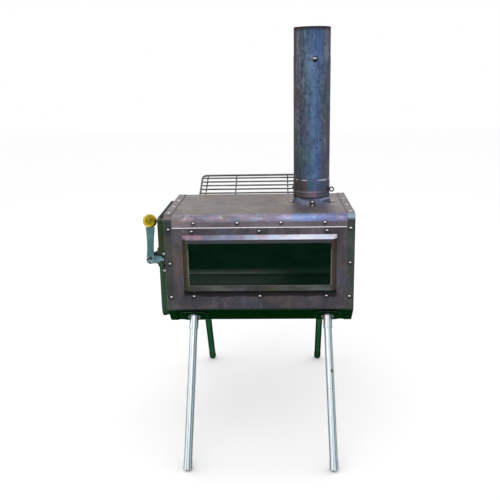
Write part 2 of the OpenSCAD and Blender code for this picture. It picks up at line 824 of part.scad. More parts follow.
module pivot_bore() translate([pivot_x, bar_front - 5, pivot_z])
    face_back() cylinder(r = pivot_r + run_gap, h = 20);

fix_spots = [[-6.1, -2.2], [-2.4, -9.2]];
module handle_fix_spots() for (p = fix_spots)
    translate([pivot_x + p[0], bar_front, pivot_z + p[1]]) face_front() children();
fix_r = 1.2;
module fix_hole() translate([0, 0, -8]) cylinder(r = fix_r + hole_gap, h = 10);

// The arm's nose rests on the catch pin.
nose_x = -half_w - 2.2;
nose_z = catch_pin_z + catch_pin_r + 0.2;

module latch_arm() placed(bright) difference() {
    along_y(arm_front, arm_back) {
        translate([pivot_x - 0.8, foot_z]) circle(foot_r);
        polygon([[pivot_x, foot_z - foot_r], [-half_w - 11, foot_z - 7.5],
                 [-half_w - 10, nose_z], [nose_x - 1.5, nose_z], [nose_x, nose_z + 1.5],
                 [nose_x, nose_z + 5], [-half_w - 9, foot_z + 8], [pivot_x, foot_z + foot_r]]);
    }
    pivot_bore();
    handle_fix_spots() fix_hole();
}

// The handle bar narrows to a waist and widens again under the ball.
function bar_half(s) = handle_waist_w / 2
    + (s > 0.4 ? (handle_top_w - handle_waist_w) / 2 * pow((s - 0.4) / 0.6, 2)
               : (foot_r - handle_waist_w / 2) * pow((0.4 - s) / 0.4, 2));

function bar_x(s) = pivot_x - 0.8 * (1 - s) + ball_off * s;

module handle_bar() placed(bright) difference() {
    union() {
        along_y(bar_front, bar_front + lever_t) {
            translate([pivot_x - 0.8, foot_z]) circle(foot_r);
            polygon(concat(
                [for (i = [0 : 16]) [bar_x(i / 16) - bar_half(i / 16),
                                     foot_z + (bar_top - foot_z) * i / 16]],
                [for (i = [16 : -1 : 0]) [bar_x(i / 16) + bar_half(i / 16),
                                          foot_z + (bar_top - foot_z) * i / 16]]));
        }
        translate([pivot_x + ball_off, ball_y, bar_top - 4]) cylinder(r = tang_r, h = ball_r + 4);
    }
    pivot_bore();
    handle_fix_spots() fix_hole();
}

module handle_bolts() placed(bright) handle_fix_spots() {
    translate([0, 0, 0.05]) cylinder(r = 1.9, h = 1.5);
    translate([0, 0, -2 * lever_t - seam]) cylinder(r = fix_r, h = 2 * lever_t + seam + 1);
}

module handle_ball() placed(brass) translate([pivot_x + ball_off, ball_y, ball_z]) difference() {
    sphere(ball_r);
    translate([0, 0, -ball_r - 1]) cylinder(r = tang_r + seam, h = ball_r + 2.2);
    translate([-ball_r, -ball_r, -3 * ball_r + 1.2]) cube(2 * ball_r);
}

// ---------------------------------------------------------------- flue

flue_x = half_w - flue_in;
collar_r = pipe_r;
collar_t = 0.8;
collar_drop = 4;
socket_r = collar_r + 0.1 + pipe_t;
clip_w = 12;
clip_out = 10;
clip_t = 0.8;
clip_h = 10;

module at_flue() translate([flue_x, flue_y, z_top]) children();

// A wall of revolution between two radii, given as rings of height and outer radius.
module turned_wall(rings, wall) rotate_extrude()
    polygon(concat([for (ring = rings) [ring[1], ring[0]]],
                   [for (i = [len(rings) - 1 : -1 : 0]) [rings[i][1] - wall, rings[i][0]]]));

module flue_collar() placed(blued) at_flue() difference() {
    union() {
        turned_wall([[-collar_drop, collar_r], [collar_h, collar_r]], collar_t);
        rotate_extrude() translate([collar_r - 0.1, pipe_low - 1.3]) circle(1);
    }
    for (turn = [0 : 90 : 270]) rotate([0, 0, turn])
        translate([0, -collar_r, clip_rivet_z]) face_front() translate([0, 0, -6])
            cylinder(r = hole_r, h = 12);
}

clip_rivet_z = 5.5;
module collar_foot_spots() at_flue() for (turn = [0 : 90 : 270]) rotate([0, 0, turn])
    translate([0, -collar_r - seam - clip_t - clip_out / 2, clip_t + seam]) children();
module collar_wall_spots() at_flue() for (turn = [0 : 90 : 270]) rotate([0, 0, turn])
    translate([0, -collar_r - seam - clip_t, clip_rivet_z]) face_front() children();

module collar_clips() placed(dark_steel) difference() {
    at_flue() for (turn = [0 : 90 : 270]) rotate([0, 0, turn]) difference() {
        union() {
            intersection() {
                translate([-clip_w / 2, -collar_r - 4, seam]) cube([clip_w, 12, clip_h]);
                cylinder(r = collar_r + seam + clip_t, h = clip_h + 1);
            }
            translate([-clip_w / 2, -collar_r - seam - clip_t - clip_out, seam])
                cube([clip_w, clip_out + 4, clip_t]);
        }
        translate([0, 0, -1]) cylinder(r = collar_r + seam, h = clip_h + 4);
    }
    collar_foot_spots() shank_hole();
    collar_wall_spots() shank_hole();
}

module flue_pipe() placed(blued) at_flue() difference() {
    turned_wall([[pipe_low, socket_r], [pipe_low + 9.5, socket_r],
                 [pipe_low + 10.5, socket_r + 0.5], [pipe_low + 12.5, socket_r + 0.5],
                 [pipe_low + 13.5, socket_r], [pipe_low + socket_len - 1, socket_r],
                 [pipe_low + socket_len, pipe_r], [pipe_top - pipe_end_len - 1, pipe_r],
                 [pipe_top - pipe_end_len, pipe_r - pipe_end_in],
                 [pipe_top, pipe_r - pipe_end_in]], pipe_t);
    damper_turned() rotate([90, 0, 90]) translate([0, 0, -2 * pipe_r])
        cylinder(r = rod_r + run_gap, h = 4 * pipe_r);
    pipe_bolt_turned() face_front() cylinder(r = pipe_bolt_r + hole_gap, h = 60);
}

pipe_bolt_r = 2.5;
module pipe_bolt_turned() translate([0, 0, pipe_top - pipe_end_len - pipe_bolt_drop])
    rotate([0, 0, 5]) children();

module pipe_bolt() placed(bright) at_flue() pipe_bolt_turned() translate([0, -pipe_r, 0])
    face_front() difference() {
        union() {
            translate([0, 0, 0.1]) cylinder(r = 6.5, h = 1.2);
            intersection() {
                translate([0, 0, -1.2]) sphere(5.2);
                translate([0, 0, 1.2]) cylinder(r = 4.6, h = 4);
            }
            translate([0, 0, -7]) cylinder(r = pipe_bolt_r, h = 9);
            translate([0, 0, -pipe_t - 4.6]) cylinder(r = 4.6, h = 3.8, $fn = 6);
        }
        translate([0, 0, 3]) cylinder(r = 1.4, h = 4, $fn = 6);
    }

// The damper stands open: its disc is upright, beside the rod that turns it.
module damper_turned() translate([0, 0, damper_z]) rotate([0, 0, -damper_turn]) children();
damper_r = pipe_r - 2.6;
disc_t = 1.5;
loop_r = 4.5;

module damper_rod() placed(bright) at_flue() damper_turned() difference() {
    union() {
        rotate([90, 0, 90]) translate([0, 0, -socket_r - 6])
            cylinder(r = rod_r, h = 2 * socket_r + 8.4);
        translate([socket_r + 2.4 + loop_r, 0, 0]) rotate([90, 0, 0])
            rotate_extrude() translate([loop_r, 0]) circle(rod_r);
        translate([-socket_r - 3.2, 0, 0]) rotate([90, 0, 90]) cylinder(r = rod_r + 1.5, h = 1.4);
    }
    damper_screw_spots() translate([0, 0, -6]) cylinder(r = 0.8 + hole_gap, h = 12);
}

module damper_screw_spots() for (side = [-1, 1])
    translate([side * damper_r / 2, -rod_r, 0]) rotate([90, 0, 0]) children();

module damper_plate() placed(blued) at_flue() damper_turned() difference() {
    translate([0, rod_r + 0.1, 0]) rotate([-90, 0, 0]) cylinder(r = damper_r, h = disc_t);
    damper_screw_spots() translate([0, 0, -8]) cylinder(r = 0.8 + hole_gap, h = 12);
}

module damper_screws() placed(bright) at_flue() damper_turned() damper_screw_spots() {
    translate([0, 0, 0.05]) cylinder(r = 1.4, h = 1);
    translate([0, 0, -2 * rod_r - disc_t - 0.6]) cylinder(r = 0.8, h = 2 * rod_r + disc_t + 1);
    translate([0, 0, -2 * rod_r - disc_t - 1.6]) cylinder(r = 1.6, h = 1.4);
}

// ---------------------------------------------------------------- rear rack

hinge_wire_y = body_d + rack_off;
hinge_wire_z = z_top - rack_drop;
rack_x = rack_w / 2 - rack_wire_r;
rack_corner_r = 12;

// The rack's own frame: X along its hinge, Y out along the rack, Z square to it.
module on_rack() translate([0, hinge_wire_y, hinge_wire_z]) rotate([rack_tilt, 0, 0]) children();

module wire_x(x1, x2, r) translate([x1, 0, 0]) face_right() cylinder(r = r, h = x2 - x1);
module wire_y(y1, y2, r) translate([0, y1, 0]) face_back() cylinder(r = r, h = y2 - y1);

module rack_frame() placed(bright) on_rack() {
    wire_x(-rack_x, rack_x, rack_wire_r);
    translate([0, rack_len, 0])
        wire_x(-rack_x + rack_corner_r, rack_x - rack_corner_r, rack_wire_r);
    both_ends() {
        translate([rack_x, 0, 0]) {
            wire_y(0, rack_len - rack_corner_r, rack_wire_r);
            sphere(rack_wire_r);
        }
        translate([rack_x - rack_corner_r, rack_len - rack_corner_r, 0])
            rotate_extrude(angle = 90) translate([rack_corner_r, 0]) circle(rack_wire_r);
    }
}

module rack_rods() placed(bright) on_rack() for (i = [1 : rack_n])
    translate([0, i * rack_pitch + 1.5, rack_rod_r - rack_wire_r])
        wire_x(-rack_x + rack_wire_r + 0.1, rack_x - rack_wire_r - 0.1, rack_rod_r);

// The inner crossbars run on past the hinge and turn down the back wall as stops.
bar_drop = rack_wire_r + rack_rod_r + 0.1;
heel_len = 30;
heel_gap = 0.3;
heel_lean = 12;
heel_bend = 5;
heel_turn = 90 - rack_tilt - heel_lean;
heel_down = bar_drop + heel_bend * (1 - cos(heel_turn)) + heel_len * sin(heel_turn);
heel_from = (rack_rod_r + heel_gap - rack_off - heel_down * sin(rack_tilt)) / cos(rack_tilt)
    + heel_bend * sin(heel_turn) + heel_len * cos(heel_turn);

module rack_crossbars() placed(bright) on_rack() translate([0, 0, -bar_drop]) both_ends() {
    translate([rack_bar_out, 0, 0]) wire_y(-3, rack_len + 2, rack_rod_r);
    translate([rack_bar_in, 0, 0]) {
        wire_y(heel_from, rack_len + 2, rack_rod_r);
        translate([0, heel_from, -heel_bend]) rotate([90, 0, 90]) rotate([0, 0, 90]) {
            rotate_extrude(angle = heel_turn) translate([heel_bend, 0]) circle(rack_rod_r);
            rotate([0, 0, heel_turn]) translate([heel_bend, -eps, 0]) rotate([-90, 0, 0])
                cylinder(r = rack_rod_r, h = heel_len);
        }
    }
}

bracket_t = 2;
bracket_foot_w = 22;
bracket_low = 56;
bracket_high = top_flange + 3;
eye_r = 5.5;
module rack_bracket_spots() for (side = [-1, 1]) for (drop = [bracket_low - 18, bracket_low - 6])
    translate([side * (rack_bracket_x + bracket_foot_w / 2), body_d + bracket_t + seam,
               z_top - drop])
        face_back() children();

module rack_brackets() placed(bright) both_ends() difference() {
    union() {
        translate([rack_bracket_x, body_d + seam, z_top - bracket_low])
            cube([bracket_foot_w, bracket_t, bracket_low - bracket_high]);
        along_x(rack_bracket_x, rack_bracket_x + bracket_t) {
            polygon([[body_d + seam, z_top - bracket_low], [body_d + 6, z_top - bracket_low],
                     [hinge_wire_y + eye_r, hinge_wire_z - 2], [hinge_wire_y, hinge_wire_z + eye_r],
                     [hinge_wire_y - eye_r, hinge_wire_z],
                     [body_d + skin + 1.2, z_top - bracket_high],
                     [body_d + seam, z_top - bracket_high]]);
            translate([hinge_wire_y, hinge_wire_z]) circle(eye_r);
        }
    }
    translate([0, hinge_wire_y, hinge_wire_z]) wire_x(-half_w, half_w, rack_wire_r + run_gap);
    rack_bracket_spots() shank_hole();
}

// ---------------------------------------------------------------- legs

plate_t = 2;
leg_x = half_w - leg_in;
plate_y = bevel / 2 + 2.5;
plate_z = z_low + bevel / 2 - 2.5;
leg_len = plate_z / cos(leg_splay) / cos(leg_lean);
root_r = leg_r + run_gap + socket_t;
boss_r = 13.5;
boss_t = 2.2;
tube_start = 5;
joint_at = tube_start + upper_len;
foot_t = 0.5;
foot_r2 = leg_r + run_gap + foot_t;
foot_rim = 4;
foot_len = 5.5;
foot_cut = 0.6;
foot_at = leg_len - foot_len + foot_rim
    - ((foot_r2 - foot_rim) * sin(leg_splay) + foot_rim - foot_cut) / cos(leg_splay);

// Runs its children at each leg: X across, Z square out of the bevel.
module leg_spots() front_and_back() both_ends() leg_plate_frame() children();
module leg_plate_frame() translate([leg_x, plate_y, plate_z]) rotate([135, 0, 0]) children();

// Z runs down one leg from its root, with the foot at leg_len.
module leg_frame() translate([leg_x, plate_y, plate_z])
    rotate([0, -leg_lean, 0]) rotate([180 - leg_splay, 0, 0]) children();
module at_leg(side, rear) {
    if (rear) translate([0, body_d, 0]) mirror([0, 1, 0]) at_side(side) leg_frame() children();
    else at_side(side) leg_frame() children();
}
module at_side(side) {
    if (side < 0) mirror([1, 0, 0]) children();
    else children();
}
module all_legs() for (side = [-1, 1]) for (rear = [false, true]) at_leg(side, rear) children();

module plate_rivet_spots() for (side = [-1, 1])
    translate([side * (plate_w / 2 - 6), 0, plate_t + seam]) children();

module leg_plates() placed(bright) leg_spots() difference() {
    translate([0, 0, seam]) linear_extrude(plate_t) rounded_box(plate_w, plate_h, 12);
    plate_rivet_spots() shank_hole();
}

// Turns a leg's own frame back to its plate's, so that Z is square to the bevel.
module on_plate() rotate([leg_splay - 180, 0, 0]) rotate([0, leg_lean, 0]) rotate([135, 0, 0])
    children();

module leg_sockets() placed(bright) all_legs() difference() {
    union() {
        cylinder(r = root_r, h = leg_socket_len);
        on_plate() cylinder(r = boss_r, h = plate_t + 2 * seam + boss_t);
    }
    translate([0, 0, tube_start - 0.3]) cylinder(r = leg_r + run_gap, h = leg_socket_len);
    on_plate() translate([-plate_w, -plate_w, -plate_w])
        cube([2 * plate_w, 2 * plate_w, plate_w + plate_t + 2 * seam]);
}

module tube(from, to, r, wall) translate([0, 0, from]) difference() {
    cylinder(r = r, h = to - from);
    translate([0, 0, -1]) cylinder(r = r - wall, h = to - from + 2);
}

module button_way(r) translate([0, 0, joint_at - button_up]) face_right() cylinder(r = r, h = 40);

module upper_leg(side, rear, turn) placed(bright) at_leg(side, rear) difference() {
    tube(tube_start, joint_at, leg_r, leg_t);
    rotate([0, 0, turn]) button_way(button_r + hole_gap);
}

module lower_leg(side, rear) placed(bright) at_leg(side, rear)
    tube(joint_at + 0.2, foot_at - 0.5, leg_r, leg_t);

// Each leg's side, whether it is a rear one, and how far its button is turned round it.
sides = [-1, 1, -1, 1];
rears = [false, false, true, true];
turns = [-70, 55, 75, 60];

module upper_leg_front_left() upper_leg(sides[0], rears[0], turns[0]);
module upper_leg_front_right() upper_leg(sides[1], rears[1], turns[1]);
module upper_leg_rear_left() upper_leg(sides[2], rears[2], turns[2]);
module upper_leg_rear_right() upper_leg(sides[3], rears[3], turns[3]);
module lower_leg_front_left() lower_leg(sides[0], rears[0]);
module lower_leg_front_right() lower_leg(sides[1], rears[1]);
module lower_leg_rear_left() lower_leg(sides[2], rears[2]);
module lower_leg_rear_right() lower_leg(sides[3], rears[3]);

sleeve_r = leg_r - leg_t - run_gap;
sleeve_t = 1;
spring_w = 4.6;
spring_t = 0.7;
spring_off = sleeve_r - sleeve_t - 1.6;
spring_up = 6;
spring_len = 34;
sleeve_up = 12;
sleeve_down = 34;

module leg_sleeves() placed(bright) for (i = [0 : 3]) at_leg(sides[i], rears[i]) difference() {
    tube(joint_at - button_up - sleeve_up, joint_at + sleeve_down, sleeve_r, sleeve_t);
    rotate([0, 0, turns[i]]) button_way(button_r + hole_gap);
}

module button_springs() placed(dark_steel) for (i = [0 : 3]) at_leg(sides[i], rears[i])
    rotate([0, 0, turns[i]])
        translate([-spring_off - spring_t, -spring_w / 2, joint_at - button_up - spring_up])
            cube([spring_t, spring_w, spring_len]);

module snap_button(i) placed(bright) at_leg(sides[i], rears[i]) rotate([0, 0, turns[i]]) {
    translate([spring_off, -spring_w / 2, joint_at - button_up - spring_up])
        cube([spring_t, spring_w, spring_len - 4]);
    translate([0, 0, joint_at - button_up]) face_right() intersection() {
        translate([0, 0, spring_off]) cylinder(r = button_r, h = leg_r + 1.6 - spring_off);
        translate([0, 0, leg_r - 1.8]) sphere(button_r + 1.1);
    }
}

module button_front_left() snap_button(0);
module button_front_right() snap_button(1);
module button_rear_left() snap_button(2);
module button_rear_right() snap_button(3);

// Caps with rounded rims close the legs, cut flat where they stand on the ground.
foot_grip = 14;
module foot_outline() {
    translate([0, -foot_grip]) square([foot_r2, foot_grip + foot_len - foot_rim]);
    translate([0, -foot_grip]) square([foot_r2 - foot_rim, foot_grip + foot_len]);
    translate([foot_r2 - foot_rim, foot_len - foot_rim]) circle(foot_rim);
}
module leg_feet() placed(bright) difference() {
    all_legs() translate([0, 0, foot_at]) rotate_extrude() difference() {
        foot_outline();
        translate([-1, -foot_grip - 1]) square([leg_r + run_gap + 1, foot_grip + 1]);
    }
    translate([-body_w, -body_d * 2, -2 * foot_grip])
        cube([body_w * 2, body_d * 5, 2 * foot_grip]);
}

module fitting_rivets() placed(bright) {
    neck_spots() rivet(door_t + seam + sheet_t + 0.05);
    hinge_foot_spots() rivet(leaf_t + seam + sheet_t + 0.05);
    collar_foot_spots() rivet(clip_t + seam + sheet_t + 0.05);
    collar_wall_spots() rivet(clip_t + seam + collar_t + 0.3);
    leg_spots() plate_rivet_spots() rivet(plate_t + seam + sheet_t + 0.05);
    rack_bracket_spots() rivet(bracket_t + seam + sheet_t + 0.05);
}

body_sheet();
top_sheet();
left_end_cap();
right_end_cap();
case_rivets();
window_frame();
window_gasket();
window_glass();
glass_retainer();
window_rivets();
grate();
door_neck();
catch_plate();
catch_bolts();
hinge_leaves_fixed();
fitting_rivets();
flue_collar();
collar_clips();
rack_brackets();
leg_plates();
leg_sockets();
upper_leg_front_left();
upper_leg_front_right();
upper_leg_rear_left();
upper_leg_rear_right();
lower_leg_front_left();
lower_leg_front_right();
lower_leg_rear_left();
lower_leg_rear_right();
leg_sleeves();
button_springs();
leg_feet();
button_front_left();
button_front_right();
button_rear_left();
button_rear_right();
door_panel();
door_liner();
door_gasket();
hinge_leaves_door();
hinge_pins();
door_rivets();
vent_rails();
vent_slider();
vent_knob();
latch_bracket();
latch_pivot();
latch_arm();
handle_bar();
handle_bolts();
handle_ball();
flue_pipe();
pipe_bolt();
damper_rod();
damper_plate();
damper_screws();
rack_frame();
rack_rods();
rack_crossbars();
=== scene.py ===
import json
import math

import bpy
from mathutils import Matrix, Vector


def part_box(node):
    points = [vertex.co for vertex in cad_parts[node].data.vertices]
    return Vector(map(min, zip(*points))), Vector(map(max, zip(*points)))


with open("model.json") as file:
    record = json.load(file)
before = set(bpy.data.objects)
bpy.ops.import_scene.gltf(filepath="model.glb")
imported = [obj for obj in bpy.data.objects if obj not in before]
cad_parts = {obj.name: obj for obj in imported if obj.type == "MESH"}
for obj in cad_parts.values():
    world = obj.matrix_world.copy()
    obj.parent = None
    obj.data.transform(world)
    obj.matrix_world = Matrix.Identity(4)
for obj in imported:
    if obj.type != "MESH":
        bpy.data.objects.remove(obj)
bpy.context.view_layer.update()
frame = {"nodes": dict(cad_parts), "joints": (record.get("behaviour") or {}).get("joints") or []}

# ---------------------------------------------------------------- camera
# Standing height in front of the window, a little right of the stove's middle, and tipped down
# by 15 degrees. The place and lens come from lines of the stove measured in the photograph.
CAMERA_PLACE = Vector((0.0579, -1.4691, 0.7860))
CAMERA_YAW, CAMERA_PITCH, CAMERA_ROLL = -0.0421, 0.2604, -0.0193
CAMERA_LENS = 47.49

ahead = Vector((math.sin(CAMERA_YAW) * math.cos(CAMERA_PITCH),
                math.cos(CAMERA_YAW) * math.cos(CAMERA_PITCH), -math.sin(CAMERA_PITCH)))
level = Vector((math.cos(CAMERA_YAW), -math.sin(CAMERA_YAW), 0))
raised = level.cross(ahead)
right = level * math.cos(CAMERA_ROLL) + raised * math.sin(CAMERA_ROLL)
up = raised * math.cos(CAMERA_ROLL) - level * math.sin(CAMERA_ROLL)
camera = bpy.data.objects.new("camera", bpy.data.cameras.new("camera"))
bpy.context.collection.objects.link(camera)
camera.data.lens = CAMERA_LENS
camera.data.sensor_width = 36
turn = Matrix((right, up, -ahead)).transposed()
camera.matrix_world = Matrix.Translation(CAMERA_PLACE) @ turn.to_4x4()
bpy.context.scene.camera = camera


# ---------------------------------------------------------------- floor and studio light
# A wide pale floor and a plain white surround, as in a product studio. Three soft lamps stand
# over it: the main one in front and above, one at each side for the edges of the steel.
def srgb(red, green, blue):
    """A colour from its 0 to 255 screen values, as the shaders want it."""
    def straight(v):
        v = v / 255
        return v / 12.92 if v < 0.04045 else ((v + 0.055) / 1.055) ** 2.4
    return (straight(red), straight(green), straight(blue), 1)


class Finish:
    """One procedural surface, built up layer by layer over the piece's own place in the stove.
    A mask is a value that is 1 where a layer shows and 0 where it doesn't."""

    def __init__(self, name, metal=1.0, rough=0.4):
        self.material = bpy.data.materials.new(name)
        self.material.use_nodes = True
        self.tree = self.material.node_tree
        self.surface = self.tree.nodes["Principled BSDF"]
        self.surface.inputs["Metallic"].default_value = metal
        self.surface.inputs["Roughness"].default_value = rough
        self.place = self.add("ShaderNodeTexCoord").outputs["Object"]
        self.xyz = self.add("ShaderNodeSeparateXYZ", {}, Vector=self.place).outputs
        self.facing = self.add("ShaderNodeTexCoord").outputs["Normal"]
        self.relief = None

    def add(self, kind, settings=None, **sockets):
        """A new shader node with its settings and sockets filled in."""
        node = self.tree.nodes.new(kind)
        for key, value in (settings or {}).items():
            setattr(node, key, value)
        for key, value in sockets.items():
            self.feed(node.inputs[key.replace("_", " ")], value)
        return node

    def feed(self, socket, value):
        """Links the value to the socket, or types it in where it is a plain number or colour."""
        if isinstance(value, bpy.types.NodeSocket):
            self.tree.links.new(value, socket)
        else:
            socket.default_value = value

    def sum(self, how, a, b=0.0):
        """Arithmetic on one or two values."""
        node = self.add("ShaderNodeMath", {"operation": how})
        self.feed(node.inputs[0], a)
        self.feed(node.inputs[1], b)
        return node.outputs[0]

    def vector(self, how, a, b, output="Vector"):
        """Arithmetic on two places or directions."""
        node = self.add("ShaderNodeVectorMath", {"operation": how})
        self.feed(node.inputs[0], a)
        self.feed(node.inputs[1], b)
        return node.outputs[output]

    def noise(self, scale, detail=4.0, stretch=(1, 1, 1), rough=0.55, bend=0.0, shift=0.0):
        """Cloudy noise between 0 and 1; a stretch below 1 draws it out along that axis."""
        at = self.add("ShaderNodeMapping", {}, Vector=self.place, Scale=stretch,
                      Location=(shift, shift * 1.7, shift * 0.6)).outputs[0]
        return self.add("ShaderNodeTexNoise", {}, Vector=at, Scale=scale, Detail=detail,
                        Roughness=rough, Distortion=bend).outputs["Fac"]

    def raised(self, base, value, share):
        """The base with a share of the value added."""
        return self.sum("ADD", base, self.sum("MULTIPLY", value, share))

    def wander(self, base, noise, reach):
        """The base pushed up and down by a noise, so that what follows it isn't straight."""
        return self.raised(base, self.sum("SUBTRACT", noise, 0.5), reach)

    def step(self, value, low, high):
        """0 below low and 1 above high, with a smooth climb; the other way round if high < low."""
        node = self.add("ShaderNodeMapRange", {"interpolation_type": "SMOOTHSTEP"})
        rising = low < high
        for key, v in zip(("Value", "From Min", "From Max", "To Min", "To Max"),
                          (value, min(low, high), max(low, high), float(not rising),
                           float(rising))):
            self.feed(node.inputs[key], v)
        return node.outputs[0]

    def where(self, *masks):
        """1 only where every one of the masks is 1."""
        product = masks[0]
        for mask in masks[1:]:
            product = self.sum("MULTIPLY", product, mask)
        return product

    def ramp(self, value, stops):
        """The colour for a value, blended between the stops."""
        node = self.add("ShaderNodeValToRGB", {}, Fac=value)
        marks = node.color_ramp.elements
        while len(marks) < len(stops):
            marks.new(0.5)
        for mark, (at, colour) in zip(marks, stops):
            mark.position = at
            mark.color = colour
        return node.outputs[0]

    def mix(self, amount, under, over, how="MIX"):
        node = self.add("ShaderNodeMix", {"data_type": "RGBA", "blend_type": how})
        self.feed(node.inputs[0], amount)
        self.feed(node.inputs[6], under)
        self.feed(node.inputs[7], over)
        return node.outputs[2]

    def stain(self, colour, tone, amount, *masks):
        """Lays a tone over the colour, as strongly as the amount says, where the masks meet."""
        return self.mix(self.where(*masks, amount), colour, tone)

    def near(self, spots, inner, outer):
        """1 within the inner distance of any of the spots, and 0 beyond the outer one."""
        closest = 1.0
        for spot in spots:
            closest = self.sum("MINIMUM", self.vector("DISTANCE", self.place, spot, "Value"),
                               closest)
        return self.step(closest, outer, inner)

    def edges(self, radius=0.0008):
        """1 along sharp edges and 0 on faces: for edges rubbed bright by handling and heat, and for
        painted edge highlights.
        """
        round_normal = self.add("ShaderNodeBevel", {"samples": 4}, Radius=radius).outputs[0]
        flat_normal = self.add("ShaderNodeNewGeometry").outputs["Normal"]
        agree = self.vector("DOT_PRODUCT", round_normal, flat_normal, "Value")
        return self.step(agree, 0.995, 0.90)

    def bump(self, height, depth, strength=1.0):
        """Fine relief as deep as the depth, on top of what relief there is."""
        node = self.add("ShaderNodeBump", {}, Height=height, Distance=depth, Strength=strength)
        if self.relief is not None:
            self.feed(node.inputs["Normal"], self.relief)
        self.relief = node.outputs[0]

    def soften(self, radius):
        """Makes sharp edges catch the light as if rounded; it comes before any bump."""
        self.relief = self.add("ShaderNodeBevel", {"samples": 4}, Radius=radius).outputs[0]

    def glare(self, tint):
        """The colour that slanting light takes on the steel; a dark one stops pale sheen."""
        self.feed(self.surface.inputs["Specular Tint"], tint)

    def faces(self, axis):
        """1 on faces that look along the axis, 0 side-on and -1 on faces that look away."""
        return self.add("ShaderNodeSeparateXYZ", {}, Vector=self.facing).outputs[axis]

    def wear(self, colour, rough=None):
        """The finished layers go onto the surface."""
        self.feed(self.surface.inputs["Base Color"], colour)
        if rough is not None:
            self.feed(self.surface.inputs["Roughness"], rough)
        if self.relief is not None:
            self.feed(self.surface.inputs["Normal"], self.relief)
        return self.material

    def put_on(self, *nodes):
        """Covers the whole of each piece with this finish."""
        for name in nodes:
            node = frame["nodes"][name]
            node.data.materials.clear()
            node.data.materials.append(self.material)
            for face in node.data.polygons:
                face.material_index = 0


FLOOR = 8
floor_mesh = bpy.data.meshes.new("floor")
floor_mesh.from_pydata([(-FLOOR, -FLOOR, 0), (FLOOR, -FLOOR, 0), (FLOOR, FLOOR, 0),
                        (-FLOOR, FLOOR, 0)], [], [(0, 1, 2, 3)])
floor = bpy.data.objects.new("floor", floor_mesh)
bpy.context.collection.objects.link(floor)
floor_paint = Finish("floor_paint", metal=0, rough=0.9)
floor_mesh.materials.append(floor_paint.wear(
    floor_paint.mix(floor_paint.noise(3), srgb(252, 252, 252), srgb(254, 254, 254))))

world = bpy.data.worlds.new("studio")
bpy.context.scene.world = world
world.use_nodes = True
surround = world.node_tree.nodes["Background"].inputs
surround["Color"].default_value = srgb(255, 255, 255)
surround["Strength"].default_value = 1.0
bpy.context.scene.view_settings.view_transform = "Standard"

LAMPS = [("main_lamp", (-0.6, -1.6, 1.9), 1.3, 7), ("left_lamp", (-1.9, 0.2, 1.1), 1.0, 4),
         ("right_lamp", (1.8, 0.6, 1.5), 1.0, 4)]
LAMP_AIM = Vector((0, 0, 0.45))
for name, place, size, power in LAMPS:
    lamp = bpy.data.objects.new(name, bpy.data.lights.new(name, "AREA"))
    bpy.context.collection.objects.link(lamp)
    lamp.data.size = size
    lamp.data.energy = power
    lamp.location = place
    lamp.rotation_euler = (LAMP_AIM - Vector(place)).to_track_quat("-Z", "Y").to_euler()

# ---------------------------------------------------------------- firebox wrap
# The firebox's long sheet: front wall, lower bevels, bottom and back bent from one piece of
# cold rolled steel. Firing has mottled it brown, violet and blue; its inside is black with soot.
wrap_low, wrap_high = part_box("body_sheet")
GROUND_GAP = wrap_low.z
HALF_DEPTH = wrap_high.y
MIDDLE_X = (wrap_low.x + wrap_high.x) / 2
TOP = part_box("top_sheet")[1].z
BEVEL_TOP = GROUND_GAP + 0.038
SOOT = srgb(20, 20, 19)

# Of the window's frame only the band shows; its flange lies behind the wall, with the rivets.
frame_low, frame_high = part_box("window_frame")
HIDDEN_FLANGE = 0.014
BAND_HALF_W = (frame_high.x - frame_low.x) / 2 - HIDDEN_FLANGE
BAND_HALF_H = (frame_high.z - frame_low.z) / 2 - HIDDEN_FLANGE
BAND_FOOT = frame_low.z + HIDDEN_FLANGE
WINDOW_RIVET_PITCH = 0.142
RIVET_RING_R = 0.0035


def sooty_inside(finish, colour, rough):
    """Blackens the faces that look into the firebox. Gives the colour and the roughness."""
    outward = finish.vector("SUBTRACT", finish.place, (MIDDLE_X, 0, (GROUND_GAP + TOP) / 2))
    turned_out = finish.vector("DOT_PRODUCT", finish.facing, outward, "Value")
    within = finish.sum("LESS_THAN", finish.sum("ABSOLUTE", finish.xyz["Y"]), HALF_DEPTH - 0.0006)
    soot = finish.where(within, finish.sum("LESS_THAN", turned_out, -0.02))
    flakes = finish.mix(finish.noise(60, 6), SOOT, srgb(34, 33, 31))
    return finish.mix(soot, colour, flakes), finish.sum(
        "MAXIMUM", rough, finish.sum("MULTIPLY", soot, 0.9))


